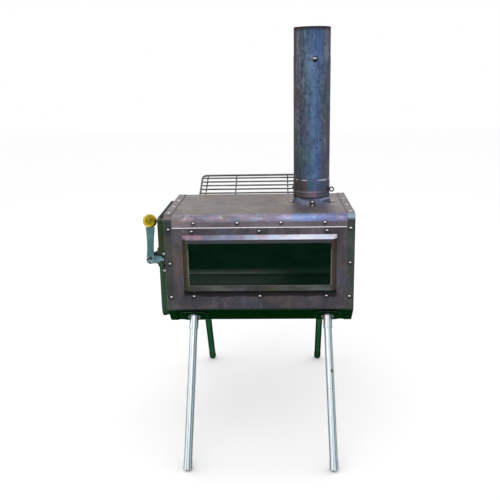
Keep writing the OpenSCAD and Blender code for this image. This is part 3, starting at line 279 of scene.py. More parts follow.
def fired_steel(finish, dark, middle, light, violet, brown, grain=(1, 1, 14), edge=0.55):
    """Mottled sheet steel after many fires: cloudy tones, blue and brown stains, specks, fine
    rolling lines and rubbed edges. Gives the colour and the roughness."""
    cloud = finish.noise(13, 8, rough=0.66, bend=0.6)
    colour = finish.ramp(cloud, [(0.32, dark), (0.50, middle), (0.68, light)])
    colour = finish.stain(colour, violet, 0.8, finish.step(
        finish.noise(8, 6, shift=3.1, bend=0.9), 0.48, 0.66))
    colour = finish.stain(colour, brown, 0.75, finish.step(
        finish.noise(10, 7, shift=7.7, bend=0.8), 0.50, 0.68))
    smears = finish.noise(34, 8, stretch=tuple(3 / (2 + g) for g in grain), rough=0.7, shift=5.5)
    colour = finish.stain(colour, light, 0.30, finish.step(smears, 0.52, 0.66))
    colour = finish.stain(colour, dark, 0.45, finish.step(smears, 0.48, 0.34))
    specks = finish.step(finish.noise(150, 3, shift=2.2), 0.58, 0.70)
    colour = finish.mix(finish.where(specks, 0.4), colour, dark, "MULTIPLY")
    lines = finish.noise(900, 2, stretch=tuple(1 / g for g in grain), shift=1.3)
    colour = finish.stain(colour, light, 0.14, finish.step(lines, 0.35, 0.7))
    colour = finish.stain(colour, srgb(196, 194, 196), edge, finish.edges())
    finish.soften(0.0005)
    finish.bump(lines, 0.00006, 0.5)
    finish.bump(cloud, 0.0012, 0.35)
    return colour, finish.raised(0.28, smears, 0.32)


def shadow_rings(finish, colour, tone, spots, width):
    """Paints a shadow ring on the sheet round each rivet's head."""
    return finish.stain(colour, tone, 0.6, finish.near(spots, RIVET_RING_R, RIVET_RING_R + width))


wrap = Finish("fired_wrap_steel")
wrap_colour, wrap_rough = fired_steel(
    wrap, srgb(52, 50, 56), srgb(78, 74, 80), srgb(112, 108, 110), srgb(66, 70, 92),
    srgb(94, 78, 72))
window_rivets = [(MIDDLE_X + i * WINDOW_RIVET_PITCH, -HALF_DEPTH, z) for i in (-1, 0, 1)
                 for z in (frame_low.z + HIDDEN_FLANGE / 2, frame_high.z - HIDDEN_FLANGE / 2)]
# Painted shadow rings round the window's rivets.
wrap_colour = shadow_rings(wrap, wrap_colour, srgb(24, 22, 26), window_rivets, 0.005)
low_wall = wrap.step(wrap.xyz["Z"], BAND_FOOT + 0.004, BAND_FOOT - 0.010)
wrap_colour = wrap.stain(wrap_colour, srgb(44, 52, 60), 0.28, low_wall)
# A painted shadow on the front wall just under the window's band, with a wavy lower edge.
frame_shadow_reach = wrap.raised(wrap.xyz["Z"], wrap.noise(26, 5, stretch=(1, 1, 0.3), shift=14), 0.016)
from_middle = wrap.sum("ABSOLUTE", wrap.sum("SUBTRACT", wrap.xyz["X"], MIDDLE_X))
wrap_colour = wrap.stain(
    wrap_colour, srgb(26, 24, 26), 0.85,
    wrap.step(frame_shadow_reach, BAND_FOOT - 0.001, BAND_FOOT + 0.003),
    wrap.step(wrap.xyz["Z"], BAND_FOOT + 0.004, BAND_FOOT + 0.002),
    wrap.step(from_middle, BAND_HALF_W + 0.003, BAND_HALF_W - 0.003),
    wrap.sum("LESS_THAN", wrap.xyz["Y"], 0))
# The lower bevel is painted dark green, as shade under the firebox with a green reflection, and its
# glare is darkened to match.
bevel_shade = wrap.step(wrap.xyz["Z"], BEVEL_TOP + 0.004, BEVEL_TOP - 0.004)
wrap_colour = wrap.mix(bevel_shade, wrap_colour,
                       wrap.mix(wrap.noise(20), srgb(3, 24, 9), srgb(8, 42, 18)))
wrap.glare(wrap.mix(bevel_shade, srgb(255, 255, 255), srgb(176, 190, 182)))
wrap_colour, wrap_rough = sooty_inside(wrap, wrap_colour, wrap_rough)
wrap.wear(wrap_colour, wrap_rough)
wrap.put_on("body_sheet")

# ---------------------------------------------------------------- top plate
# The flat cooking plate with its front and back flanges bent down and riveted to the wrap. The
# top has gone a dusty brown grey; the bend over the window is tempered from brown to rose to blue
# with painted highlights over it, and a painted highlight runs along the flange's cut edge.
FLANGE_RIVET_PITCH = 0.0916
FLANGE_RIVET_Z = TOP - 0.018
collar_low, collar_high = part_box("flue_collar")
FLUE_FOOT = Vector(((collar_low.x + collar_high.x) / 2, (collar_low.y + collar_high.y) / 2, TOP))

plate = Finish("fired_plate_steel")
plate_colour, plate_rough = fired_steel(
    plate, srgb(98, 92, 92), srgb(130, 122, 118), srgb(152, 146, 142), srgb(116, 114, 122),
    srgb(138, 122, 110), grain=(14, 1, 1), edge=0.4)
plate_rough = plate.sum("ADD", plate_rough, 0.08)
flange_colour = plate.ramp(plate.noise(16, 6, stretch=(0.4, 1, 1), shift=4.0, bend=0.6), [
    (0.32, srgb(76, 68, 78)), (0.50, srgb(98, 92, 102)), (0.68, srgb(124, 114, 120))])
on_flange = plate.step(plate.xyz["Z"], TOP - 0.0060, TOP - 0.0110)
plate_colour = plate.stain(plate_colour, flange_colour, 0.85, on_flange)
along = plate.wander(plate.xyz["X"], plate.noise(
    17, 6, stretch=(1, 1, 0.4), shift=9.0, bend=1.0), 0.20)
# The bend's colour is heat tint from brown to rose to blue and painted highlight together; the
# lighter patches and pale streaks over it are painted highlights.
bend_tint_and_highlight = plate.ramp(plate.step(along, -0.20, 0.24), [
    (0.06, srgb(122, 114, 116)), (0.20, srgb(126, 114, 108)), (0.34, srgb(132, 120, 116)),
    (0.44, srgb(98, 108, 132)), (0.54, srgb(142, 120, 130)), (0.64, srgb(138, 132, 154)),
    (0.78, srgb(120, 160, 216)), (0.92, srgb(128, 132, 180))])
for size, low, high, seed, tone in ((38, 0.50, 0.60, 15, srgb(108, 128, 188)),
                                    (46, 0.51, 0.60, 21, srgb(186, 156, 166)),
                                    (70, 0.52, 0.62, 27, srgb(206, 208, 228))):
    patches = plate.noise(size, 6, stretch=(0.6, 1, 1), shift=seed, rough=0.65)
    bend_tint_and_highlight = plate.stain(bend_tint_and_highlight, tone, 0.40, plate.step(patches, low, high))
bend_streaks = plate.noise(60, 6, stretch=(0.12, 1, 1), shift=12, rough=0.7)
bend_tint_and_highlight = plate.stain(bend_tint_and_highlight, srgb(196, 192, 214), 0.35, plate.step(bend_streaks, 0.50, 0.62))
bend_tint_and_highlight = plate.stain(bend_tint_and_highlight, srgb(96, 92, 116), 0.40, plate.step(bend_streaks, 0.48, 0.38))
on_bend = plate.where(
    plate.step(plate.sum("ABSOLUTE", plate.xyz["Y"]), HALF_DEPTH - 0.0140, HALF_DEPTH - 0.0050),
    plate.step(plate.xyz["Z"], TOP - 0.0170, TOP - 0.0105))
plate_colour = plate.stain(plate_colour, bend_tint_and_highlight, 0.85, on_bend)
flue_ring = plate.ramp(plate.noise(30, 6, stretch=(1, 1.6, 1), shift=6, bend=0.8), [
    (0.36, srgb(104, 104, 116)), (0.46, srgb(152, 144, 146)), (0.56, srgb(176, 156, 138)),
    (0.68, srgb(196, 190, 196))])
plate_colour = plate.stain(plate_colour, flue_ring, 0.45, plate.near([FLUE_FOOT], 0.042, 0.085))
# A painted highlight along the flange's bare cut edge.
cut_edge_highlight = plate.step(plate.xyz["Z"], TOP - 0.0262, TOP - 0.0266)
plate_colour = plate.mix(cut_edge_highlight, plate_colour, srgb(246, 244, 252))
flange_rivets = [(MIDDLE_X + i * FLANGE_RIVET_PITCH, -HALF_DEPTH, FLANGE_RIVET_Z)
                 for i in (-1.5, -0.5, 0.5, 1.5)]
# Painted shadow rings round the flange's rivets.
plate_colour = shadow_rings(plate, plate_colour, srgb(34, 30, 36), flange_rivets, 0.004)
plate_colour, plate_rough = sooty_inside(plate, plate_colour, plate_rough)
plate.wear(plate_colour, plate_rough)
plate.put_on("top_sheet")

# ---------------------------------------------------------------- end caps
# Two pans pressed from the same sheet close the ends; their flanges lap over the wrap and the
# plate. The left one is cut out for the door. Their colour is darker and greyer than the front.
CAP_RIVET_X, CAP_RIVET_FOOT, CAP_RIVET_PITCH = 0.1907, 0.066, 0.0745

cap = Finish("fired_cap_steel")
cap_colour, cap_rough = fired_steel(
    cap, srgb(45, 50, 48), srgb(62, 68, 65), srgb(86, 90, 86), srgb(58, 68, 78),
    srgb(76, 70, 62))
cap_top = cap.step(cap.xyz["Z"], TOP - 0.002, TOP + 0.0005)
cap_colour = cap.mix(cap_top, cap_colour, cap.mix(cap.noise(14, 5), srgb(112, 104, 106),
                                                  srgb(140, 132, 132)))
# The caps' front top corners: a painted light-blue highlight on the right cap, a grey brown tone on
# the left.
corner_tone_and_highlight = cap.mix(cap.sum("GREATER_THAN", cap.xyz["X"], 0), srgb(120, 110, 112),
                      srgb(158, 176, 200))
cap_colour = cap.stain(cap_colour, corner_tone_and_highlight, 0.75,
                       cap.step(cap.xyz["Z"], TOP - 0.013, TOP - 0.006),
                       cap.step(cap.xyz["Y"], -HALF_DEPTH + 0.010, -HALF_DEPTH + 0.004))
cap_rivets = [(MIDDLE_X + side * CAP_RIVET_X, -HALF_DEPTH,
               GROUND_GAP + CAP_RIVET_FOOT + i * CAP_RIVET_PITCH)
              for side in (-1, 1) for i in (0, 1, 2)]
# Painted shadow rings round the caps' rivets.
cap_colour = shadow_rings(cap, cap_colour, srgb(22, 22, 24), cap_rivets, 0.0045)
# The caps' lower bevels are painted dark green, as shade with a green reflection, and their glare
# is darkened to match.
cap_bevel_shade = cap.step(cap.xyz["Z"], BEVEL_TOP + 0.004, BEVEL_TOP - 0.006)
cap_colour = cap.mix(cap_bevel_shade, cap_colour, cap.mix(cap.noise(20), srgb(6, 28, 14),
                                                    srgb(18, 46, 28)))
cap.glare(cap.mix(cap_bevel_shade, srgb(248, 248, 248), srgb(170, 190, 176)))
cap_colour, cap_rough = sooty_inside(cap, cap_colour, cap_rough)
cap.wear(cap_colour, cap_rough)
cap.put_on("left_end_cap", "right_end_cap")

# ---------------------------------------------------------------- rivets
# Domed steel rivets, set hot, hold every seam. Their heads are bright on the upper side and
# painted dark on the lower side, as shade; the sheets round them carry painted shadow rings.
rivet = Finish("rivet_steel")
rivet_cloud = rivet.noise(160, 4)
rivet_colour = rivet.ramp(rivet_cloud, [
    (0.30, srgb(176, 172, 172)), (0.55, srgb(228, 226, 226)), (0.75, srgb(248, 246, 244))])
# Painted shade: each head's downward-facing side is dark.
rivet_colour = rivet.mix(rivet.step(rivet.faces("Z"), 0.42, 0.02), rivet_colour,
                         rivet.mix(rivet_cloud, srgb(30, 28, 30), srgb(82, 78, 80)))
# Rivets on the lower bevel are painted dark green, as shade with a green reflection.
rivet_bevel_shade = rivet.step(rivet.xyz["Z"], BEVEL_TOP + 0.002, BEVEL_TOP - 0.004)
rivet_colour = rivet.stain(rivet_colour, srgb(20, 40, 30), 0.8, rivet_bevel_shade)
rivet.glare(rivet.mix(rivet_bevel_shade, srgb(200, 200, 200), srgb(20, 60, 36)))
rivet.soften(0.0004)
rivet.bump(rivet_cloud, 0.0003, 0.4)
rivet.wear(rivet_colour, rivet.raised(0.18, rivet_cloud, 0.2))
rivet.put_on("case_rivets", "window_rivets", "fitting_rivets", "door_rivets", "handle_bolts",
             "latch_pivot")

# ---------------------------------------------------------------- window frame
# A pressed frame riveted behind the front wall; its mitred band slopes forward to a flat lip.
# The upper slope is tempered rose with a painted pale lavender reflection, the sides are bronze,
# the lower slope is painted dark as shade, and a painted glint runs down the side lips' inner
# edges.
SLOPE = 0.0085
SIDE_LIP, LOW_LIP = 0.0045, 0.0120

band = Finish("tempered_frame_steel")
band_colour, band_rough = fired_steel(
    band, srgb(66, 56, 60), srgb(88, 74, 76), srgb(112, 94, 92), srgb(82, 74, 96),
    srgb(112, 82, 68), grain=(14, 1, 1))
from_side = band.sum("SUBTRACT", BAND_HALF_W, band.sum("ABSOLUTE", band.sum(
    "SUBTRACT", band.xyz["X"], MIDDLE_X)))
above_middle = band.sum("SUBTRACT", band.xyz["Z"], BAND_FOOT + BAND_HALF_H)
from_end = band.sum("SUBTRACT", BAND_HALF_H, band.sum("ABSOLUTE", above_middle))
level_slope = band.step(from_end, SLOPE + 0.0003, SLOPE - 0.0001)
upper_slope = band.where(level_slope, band.sum("GREATER_THAN", above_middle, 0))
lower_slope = band.sum("SUBTRACT", level_slope, upper_slope)
along_band = band.wander(band.xyz["X"], band.noise(26, 6, shift=5.0), 0.16)
# The upper slope's pale lavender to white is a painted reflection; the rose patches are heat tint.
upper_tint_and_sheen = band.ramp(band.step(along_band, -0.14, 0.20), [
    (0.05, srgb(110, 112, 128)), (0.25, srgb(140, 148, 174)), (0.42, srgb(176, 184, 206)),
    (0.60, srgb(200, 210, 232)), (0.80, srgb(230, 234, 248)), (0.97, srgb(212, 218, 236))])
upper_tint_and_sheen = band.stain(upper_tint_and_sheen, srgb(214, 150, 158), 0.35,
                        band.step(band.noise(40, 6, shift=1.7), 0.54, 0.66))
band_colour = band.mix(upper_slope, band_colour, upper_tint_and_sheen)
# The lower slope is painted dark, as shade.
band_colour = band.mix(lower_slope, band_colour, srgb(25, 31, 32))
lower_lip = band.mix(band.step(band.noise(46, 5, stretch=(0.4, 1, 1)), 0.36, 0.64),
                     srgb(46, 58, 54), srgb(84, 94, 90))
lip_tint = band.mix(band.sum("LESS_THAN", above_middle, 0), srgb(50, 60, 68), lower_lip)
band_colour = band.stain(band_colour, lip_tint, 0.75, band.step(
    band.sum("MINIMUM", from_side, from_end), SLOPE, SLOPE + 0.0006))
rightward = band.sum("GREATER_THAN", band.xyz["X"], MIDDLE_X)
side_tint = band.mix(band.noise(18, 5), band.mix(rightward, srgb(46, 46, 30), srgb(56, 42, 36)),
                     band.mix(rightward, srgb(80, 76, 54), srgb(82, 70, 58)))
band_colour = band.stain(band_colour, side_tint, 0.75,
                         band.step(from_side, SLOPE + SIDE_LIP + 0.0001, SLOPE + SIDE_LIP - 0.0005),
                         band.sum("SUBTRACT", 1, level_slope))
# A painted glint along the side lips' inner edges, fading towards the top.
band_colour = band.stain(band_colour, srgb(150, 158, 142), 0.7,
                         band.step(from_side, SLOPE + SIDE_LIP - 0.0012, SLOPE + SIDE_LIP - 0.0006),
                         band.step(from_end, SLOPE + LOW_LIP - 0.0010, SLOPE + LOW_LIP + 0.0005),
                         band.step(above_middle, 0.0395, 0.0275))
band.wear(band_colour, band_rough)
band.put_on("window_frame")

# ---------------------------------------------------------------- glass, gasket and retainer
# Clear ceramic glass, a little smoked from the fire side, sits on a flat woven glass fibre tape
# and is held from behind by a pressed retainer that shares the frame's rivets.
SMOKE_TOP = 0.3808
SMOKE_RIGHT, SMOKE_FADE = 0.110, 0.110

pane = Finish("smoked_ceramic_glass", metal=0)
pane.surface.inputs["IOR"].default_value = 1.25
# The green glare paints a green reflection on the glass.
pane.glare((0.12, 0.62, 0.34, 1))
smoke_left = pane.step(pane.xyz["X"], SMOKE_RIGHT, SMOKE_RIGHT - SMOKE_FADE)
smoke_depth = pane.raised(0.08, smoke_left, pane.raised(0.36, pane.noise(20, 5, shift=4), 0.40))
smoked = pane.step(pane.xyz["Z"], SMOKE_TOP, SMOKE_TOP - 0.0010)
haze = pane.step(pane.xyz["Z"], SMOKE_TOP + 0.0100, SMOKE_TOP)
smoke = pane.where(pane.raised(pane.sum("MULTIPLY", smoked, 0.5), haze, 0.5), smoke_depth)
pane_colour = pane.mix(pane.step(pane.noise(9, 5, stretch=(1, 1, 2)), 0.35, 0.75),
                       srgb(150, 196, 172), srgb(104, 150, 126))
layers = pane.step(pane.noise(170, 3, stretch=(0.015, 1, 1), shift=8), 0.40, 0.62)
smoke_colour = pane.mix(
    pane.step(pane.xyz["Z"], SMOKE_TOP - 0.0068, SMOKE_TOP - 0.0228),
    pane.mix(layers, srgb(16, 24, 21), srgb(36, 42, 39)), srgb(44, 50, 47))
tide = pane.step(pane.xyz["Z"], SMOKE_TOP - 0.0035, SMOKE_TOP - 0.0020)
smoke_colour = pane.mix(tide, smoke_colour, srgb(78, 80, 76))
pane_colour = pane.mix(pane.sum("MINIMUM", pane.sum("MULTIPLY", smoke, 20), 1), pane_colour,
                       smoke_colour)
pane.feed(pane.surface.inputs["Transmission Weight"], pane.sum("SUBTRACT", 1, smoke))
pane.wear(pane_colour, pane.raised(0.29, smoke, 0.3))
pane.put_on("window_glass")

tape = Finish("woven_glass_fibre", metal=0, rough=0.9)
warp_wave = tape.add("ShaderNodeTexWave", {"wave_type": "BANDS", "bands_direction": "DIAGONAL"},
                     Vector=tape.place, Scale=320.0, Distortion=1.5).outputs["Fac"]
tape.bump(warp_wave, 0.0004, 0.8)
tape.wear(tape.mix(warp_wave, srgb(120, 116, 108), srgb(176, 172, 164)))
tape.put_on("window_gasket", "door_gasket")

black = Finish("sooted_steel", metal=0.6, rough=0.75)
black_cloud = black.noise(40, 7)
black.soften(0.0005)
black.bump(black_cloud, 0.0008, 0.6)
black.wear(black.ramp(black_cloud, [(0.3, srgb(18, 18, 17)), (0.7, srgb(42, 42, 40))]))
black.put_on("glass_retainer", "door_liner", "damper_plate")

# ---------------------------------------------------------------- grate
# A slotted steel plate that stands loose on the firebox's bevels and carries the fire above the
# bottom. Grey ash dusts its top.
ash = Finish("ashy_grate_steel", metal=0.2, rough=0.85)
ash_cloud = ash.noise(30, 8, rough=0.7)
ash.bump(ash_cloud, 0.001, 0.5)
ash.wear(ash.ramp(ash_cloud, [(0.30, srgb(40, 44, 42)), (0.55, srgb(66, 70, 66)),
                              (0.80, srgb(112, 112, 106))]))
ash.put_on("grate")

# ---------------------------------------------------------------- door
# The side door: a pressed pan with a folded rim that closes over the frame's neck, and a liner
# tray behind it. Its rim's dull green grey is a painted green reflection over fired mottle, bluer
# and stronger towards the bottom.
door = Finish("door_steel_green_reflection")
# The door's green tones are a painted green reflection, and its glare is tinted green to match.
door_colour, door_rough = fired_steel(
    door, srgb(28, 44, 26), srgb(42, 62, 36), srgb(62, 82, 54), srgb(40, 64, 48),
    srgb(62, 58, 40), edge=0.35)
# Painted green reflection, bluer and stronger towards the bottom.
lower_green_reflection = door.mix(door.noise(30, 6, stretch=(1, 1, 0.3)), srgb(40, 76, 54), srgb(70, 104, 84))
door_colour = door.stain(door_colour, lower_green_reflection, 0.6,
                         door.step(door.xyz["Z"], TOP - 0.044, TOP - 0.144))
dusty = door.mix(door.noise(40, 5), srgb(98, 92, 92), srgb(146, 138, 136))
door_colour = door.stain(door_colour, dusty, 0.9, door.step(door.faces("Z"), 0.5, 0.9))
door.glare(srgb(90, 120, 90))
door.wear(door_colour, door_rough)
door.put_on("door_panel", "door_neck")

# ---------------------------------------------------------------- small fittings
# Hinges, catch, latch bracket, vent rails and bolts: bright rolled steel with rubbed edges and
# fine scratches. The catch and the bracket are dark with scale, the damper's rod is burnt brown.
bright = Finish("bright_rolled_steel")
scratches = bright.noise(420, 3, stretch=(1, 1, 0.12))
bright_colour = bright.ramp(bright.noise(30, 5, shift=3.0), [
    (0.3, srgb(112, 116, 116)), (0.5, srgb(146, 150, 150)), (0.75, srgb(176, 178, 178))])
bright_colour = bright.stain(bright_colour, srgb(220, 222, 222), 0.5, bright.edges(0.0006))
bright.soften(0.0004)
bright.bump(scratches, 0.00008, 0.6)
bright.wear(bright_colour, bright.raised(0.22, scratches, 0.25))
bright.put_on("hinge_leaves_fixed", "hinge_leaves_door", "hinge_pins", "catch_bolts",
              "vent_rails", "damper_screws", "rack_brackets")

scaled = Finish("scaled_dark_steel", rough=0.45)
scaled_cloud = scaled.noise(70, 6)
scaled_colour = scaled.ramp(scaled_cloud, [(0.32, srgb(20, 24, 24)), (0.52, srgb(38, 42, 42)),
                                           (0.72, srgb(70, 74, 72))])
scaled_colour = scaled.stain(scaled_colour, srgb(160, 166, 164), 0.6, scaled.edges(0.0006))
scaled.soften(0.0004)
scaled.bump(scaled_cloud, 0.0004, 0.5)
scaled.glare(srgb(110, 120, 116))
scaled.wear(scaled_colour)
scaled.put_on("catch_plate", "latch_bracket")

burnt = Finish("burnt_rod_steel")
burnt_cloud = burnt.noise(90, 5)
burnt.bump(burnt_cloud, 0.0003, 0.5)
burnt.wear(burnt.ramp(burnt_cloud, [(0.32, srgb(44, 34, 32)), (0.52, srgb(74, 60, 56)),
                                    (0.74, srgb(118, 104, 98))]))
burnt.put_on("damper_rod", "collar_clips")

# ---------------------------------------------------------------- latch handle
# A flat bar bolted to the latch arm, both cut from blue grey strip and linished lengthwise. The
# bar's edges are dark, and its lower end carries painted highlights in spots.
bar_low, bar_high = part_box("handle_bar")

strip = Finish("linished_strip_steel")
strip_lines = strip.noise(700, 3, stretch=(1, 1, 0.05))
strip_cloud = strip.noise(25, 5)
strip_colour = strip.ramp(strip_cloud, [(0.3, srgb(50, 84, 86)), (0.5, srgb(64, 100, 102)),
                                        (0.75, srgb(96, 130, 134))])
strip_colour = strip.stain(strip_colour, srgb(128, 158, 166), 0.25, strip_lines)
strip_colour = strip.mix(
    strip.step(strip.xyz["Z"], bar_high.z - 0.0345, bar_high.z - 0.0025), strip_colour,
    strip.mix(strip_cloud, srgb(66, 98, 112), srgb(88, 122, 138)))
patina = strip.step(strip.noise(60, 5, shift=9, stretch=(1, 1, 0.4)), 0.50, 0.66)
strip_colour = strip.stain(strip_colour, srgb(88, 112, 110), 0.4, patina)
strip_colour = strip.stain(strip_colour, srgb(34, 58, 56), 0.55, strip.edges(0.0010))
# Painted highlights in spots near the bar's lower end.
highlight_spots = strip.where(
    strip.step(strip.xyz["Z"], bar_low.z + 0.0225, bar_low.z + 0.0125),
    strip.step(strip.noise(110, 4, shift=2), 0.50, 0.64))
strip_colour = strip.mix(highlight_spots, strip_colour, srgb(128, 152, 158))
strip.soften(0.0005)
strip.bump(strip_lines, 0.00006, 0.6)
strip.wear(strip_colour, strip.raised(0.2, strip_lines, 0.2))
strip.put_on("handle_bar", "latch_arm")

# ---------------------------------------------------------------- brass ball and knob
# The turned brass ball on the handle and the vent slider's small knob, polished by the hand and
# tarnished where fingers don't reach.
brass = Finish("handled_brass")
tarnish = brass.noise(60, 6, bend=0.4)
brass_colour = brass.ramp(tarnish, [(0.32, srgb(92, 82, 16)), (0.50, srgb(168, 142, 33)),
                                    (0.74, srgb(226, 198, 92))])
brass.bump(tarnish, 0.0003, 0.3)
brass.wear(brass_colour, brass.raised(0.14, tarnish, 0.22))
brass.put_on("handle_ball", "vent_knob")

# ---------------------------------------------------------------- flue
# The rolled flue pipe and the collar it stands on. Heat has blued the pipe's front and left its
# sides brown, with dark freckles, long rain streaks and a burnt rim at the top; the blue front and
# brown sides are partly painted reflection too, and a painted highlight runs along the bead.
# Heights in the flue are measured up from the top plate.
PIPE_R = 0.040
pipe_low, pipe_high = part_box("flue_pipe")
PIPE_FOOT, PIPE_TOP = pipe_low.z - TOP, pipe_high.z - TOP
STRAP_TOP, BEAD, SOCKET_TOP = 0.0312, 0.0545, 0.0565

flue = Finish("blued_pipe_steel")
flue_up = flue.sum("SUBTRACT", flue.xyz["Z"], TOP)
flue_cloud = flue.noise(26, 8, stretch=(1, 1, 0.5), rough=0.65, bend=0.6)
# Across the pipe: blue in the middle and brown at the sides, part heat tint and part painted
# reflection.
across = flue.step(flue.wander(
    flue.sum("DIVIDE", flue.sum("SUBTRACT", flue.xyz["X"], FLUE_FOOT.x), PIPE_R),
    flue.noise(30, 6, stretch=(1, 1, 0.18), shift=6), 0.9), -1.25, 1.25)
flue_colour = flue.ramp(across, [
    (0.04, srgb(70, 63, 60)), (0.14, srgb(64, 69, 76)), (0.30, srgb(69, 93, 109)),
    (0.44, srgb(78, 105, 134)), (0.56, srgb(86, 115, 153)), (0.70, srgb(72, 103, 148)),
    (0.84, srgb(78, 88, 108)), (0.96, srgb(84, 76, 74))])
flue_colour = flue.stain(flue_colour, srgb(50, 54, 80), 0.65, flue.step(flue_cloud, 0.48, 0.30))
flue_colour = flue.stain(flue_colour, srgb(128, 150, 176), 0.45, flue.step(flue_cloud, 0.54, 0.72))
green = flue.step(flue.noise(19, 5, stretch=(1.4, 1, 0.25), shift=3), 0.54, 0.66)
flue_colour = flue.stain(flue_colour, srgb(64, 92, 84), 0.35, green)
violet = flue.step(flue.noise(23, 5, stretch=(1.4, 1, 0.30), shift=11), 0.55, 0.68)
flue_colour = flue.stain(flue_colour, srgb(98, 78, 116), 0.35, violet)
for size, low, high, seed, amount, tone in ((48, 0.46, 0.62, 8, 0.45, srgb(48, 58, 92)),
                                            (85, 0.50, 0.64, 3, 0.50, srgb(50, 48, 74)),
                                            (130, 0.53, 0.64, 12, 0.50, srgb(44, 44, 66)),
                                            (170, 0.52, 0.64, 6, 0.35, srgb(134, 142, 160)),
                                            (260, 0.54, 0.66, 5, 0.45, srgb(72, 54, 54))):
    freckles = flue.noise(size, 6, shift=seed, stretch=(1, 1, 0.7), rough=0.7)
    flue_colour = flue.stain(flue_colour, tone, amount, flue.step(freckles, low, high),
                             flue.step(flue.noise(14, 3, shift=seed), 0.36, 0.56))
for size, low, high, seed, amount, tone in ((210, 0.52, 0.66, 4, 0.30, srgb(150, 166, 186)),
                                            (160, 0.50, 0.64, 13, 0.45, srgb(42, 56, 68))):
    streaks = flue.noise(size, 5, shift=seed, stretch=(1, 1, 0.06))
    flue_colour = flue.stain(flue_colour, tone, amount, flue.step(streaks, low, high),
                             flue.step(flue.noise(12, 4, shift=seed), 0.40, 0.60))
socket_tint = flue.ramp(across, [
    (0.10, srgb(76, 67, 67)), (0.30, srgb(92, 76, 76)), (0.38, srgb(58, 86, 94)),
    (0.54, srgb(66, 92, 112)), (0.64, srgb(98, 90, 120)), (0.74, srgb(72, 88, 118)),
    (0.90, srgb(68, 74, 86))])
flue_colour = flue.stain(flue_colour, socket_tint, 0.75,
                         flue.step(flue_up, SOCKET_TOP + 0.0015, SOCKET_TOP - 0.0010))
strap_tint = flue.ramp(across, [
    (0.10, srgb(96, 90, 94)), (0.45, srgb(126, 116, 124)), (0.62, srgb(150, 114, 134)),
    (0.75, srgb(104, 104, 118)), (0.90, srgb(72, 72, 80))])
flue_colour = flue.stain(flue_colour, strap_tint, 0.8,
                         flue.step(flue_up, STRAP_TOP + 0.0008, STRAP_TOP - 0.0007),
                         flue.step(flue_up, PIPE_FOOT + 0.0010, PIPE_FOOT + 0.0025))
collar_tint = flue.ramp(flue.noise(40, 5, stretch=(1, 1, 2), shift=2), [
    (0.36, srgb(98, 108, 136)), (0.50, srgb(152, 166, 202)), (0.62, srgb(198, 210, 238))])
flue_colour = flue.stain(flue_colour, collar_tint, 0.8,
                         flue.step(flue_up, PIPE_FOOT + 0.0005, PIPE_FOOT - 0.0010))
flue_colour = flue.stain(flue_colour, srgb(22, 22, 30), 0.8,
                         flue.step(flue_up, PIPE_FOOT - 0.0015, PIPE_FOOT - 0.0005),
                         flue.step(flue_up, PIPE_FOOT + 0.0020, PIPE_FOOT + 0.0010))
flue_colour = flue.stain(flue_colour, srgb(46, 34, 30), 0.85,
                         flue.step(flue_up, PIPE_TOP - 0.012, PIPE_TOP - 0.002))
# A painted highlight along the bead, in broken lengths.
from_bead = flue.sum("ABSOLUTE", flue.sum("SUBTRACT", flue_up, BEAD))
flue_colour = flue.stain(flue_colour, srgb(186, 190, 204), 0.75,
                         flue.step(from_bead, 0.0016, 0.0004),
                         flue.step(flue.noise(60, 3, stretch=(1, 1, 0.01), shift=3), 0.42, 0.56))
outward = flue.vector("MULTIPLY", flue.vector("SUBTRACT", flue.place, FLUE_FOOT), (1, 1, 0))
turned_out = flue.vector("DOT_PRODUCT", flue.facing, outward, "Value")
flue_colour = flue.mix(flue.sum("LESS_THAN", turned_out, -0.004), flue_colour, SOOT)
flue.glare(srgb(200, 202, 208))
flue.soften(0.0005)
flue.bump(flue_cloud, 0.0010, 0.4)
flue.wear(flue_colour, flue.raised(0.26, flue_cloud, 0.25))
flue.put_on("flue_pipe", "flue_collar", "vent_slider")

# ---------------------------------------------------------------- pipe bolt
# One steel bolt through the pipe near its top stops the next section. It sits on a washer. The
# upper side of its head carries a painted highlight, and the head's lower side and the washer are
# painted dark as shade.
bolt = Finish("bolt_steel_painted_light", rough=0.35)
off_pipe = bolt.sum("SUBTRACT", FLUE_FOOT.y - PIPE_R, bolt.xyz["Y"])
# Painted highlight on the head's upper side; the washer and the head's lower side are painted dark
# as shade.
head_highlight = bolt.where(bolt.step(off_pipe, 0.0012, 0.0015),
                             bolt.step(bolt.faces("Z"), -0.10, 0.25))
bolt.soften(0.0004)
bolt.glare(srgb(120, 120, 124))
bolt.wear(bolt.mix(
    head_highlight, bolt.mix(bolt.noise(200, 3), srgb(18, 16, 20), srgb(50, 46, 54)),
    bolt.mix(bolt.noise(200, 3, shift=5), srgb(150, 150, 160), srgb(214, 216, 224))))
bolt.put_on("pipe_bolt")

# ---------------------------------------------------------------- legs
# Plated steel tubes in welded sockets on riveted plates, joined by sleeves with snap buttons
# and closed by feet. The plating is bright, with drawing lines down the whole length and painted
# reflections in light and dark stripes across it; the right socket has a rusty blush. Scale rings
# the buttons. The sockets' downward faces and the rear legs are painted dark green as shade.
LEGS = ["front_left", "front_right", "rear_left", "rear_right"]
LEG_X, LEG_Y, LEG_ROOT = 0.146, 0.106, 0.0165
FRONT_SOCKETS = [(MIDDLE_X + side * LEG_X, -LEG_Y, GROUND_GAP + LEG_ROOT) for side in (-1, 1)]
BUTTON_R, BUTTON_RISE = 0.0031, 0.0016


def button_spot(leg):
    """Where a snap button comes through its tube: just inwards of the button's outer face."""
    points = [vertex.co for vertex in frame["nodes"]["button_" + leg].data.vertices]
    inwards = next(Vector(joint["axis"]) for joint in frame["joints"]
                   if joint["child"] == "button_" + leg)
    outermost = min(point.dot(inwards) for point in points)
    face = [point for point in points if point.dot(inwards) < outermost + 0.0001]
    return sum(face, Vector()) / len(face) + inwards * BUTTON_RISE


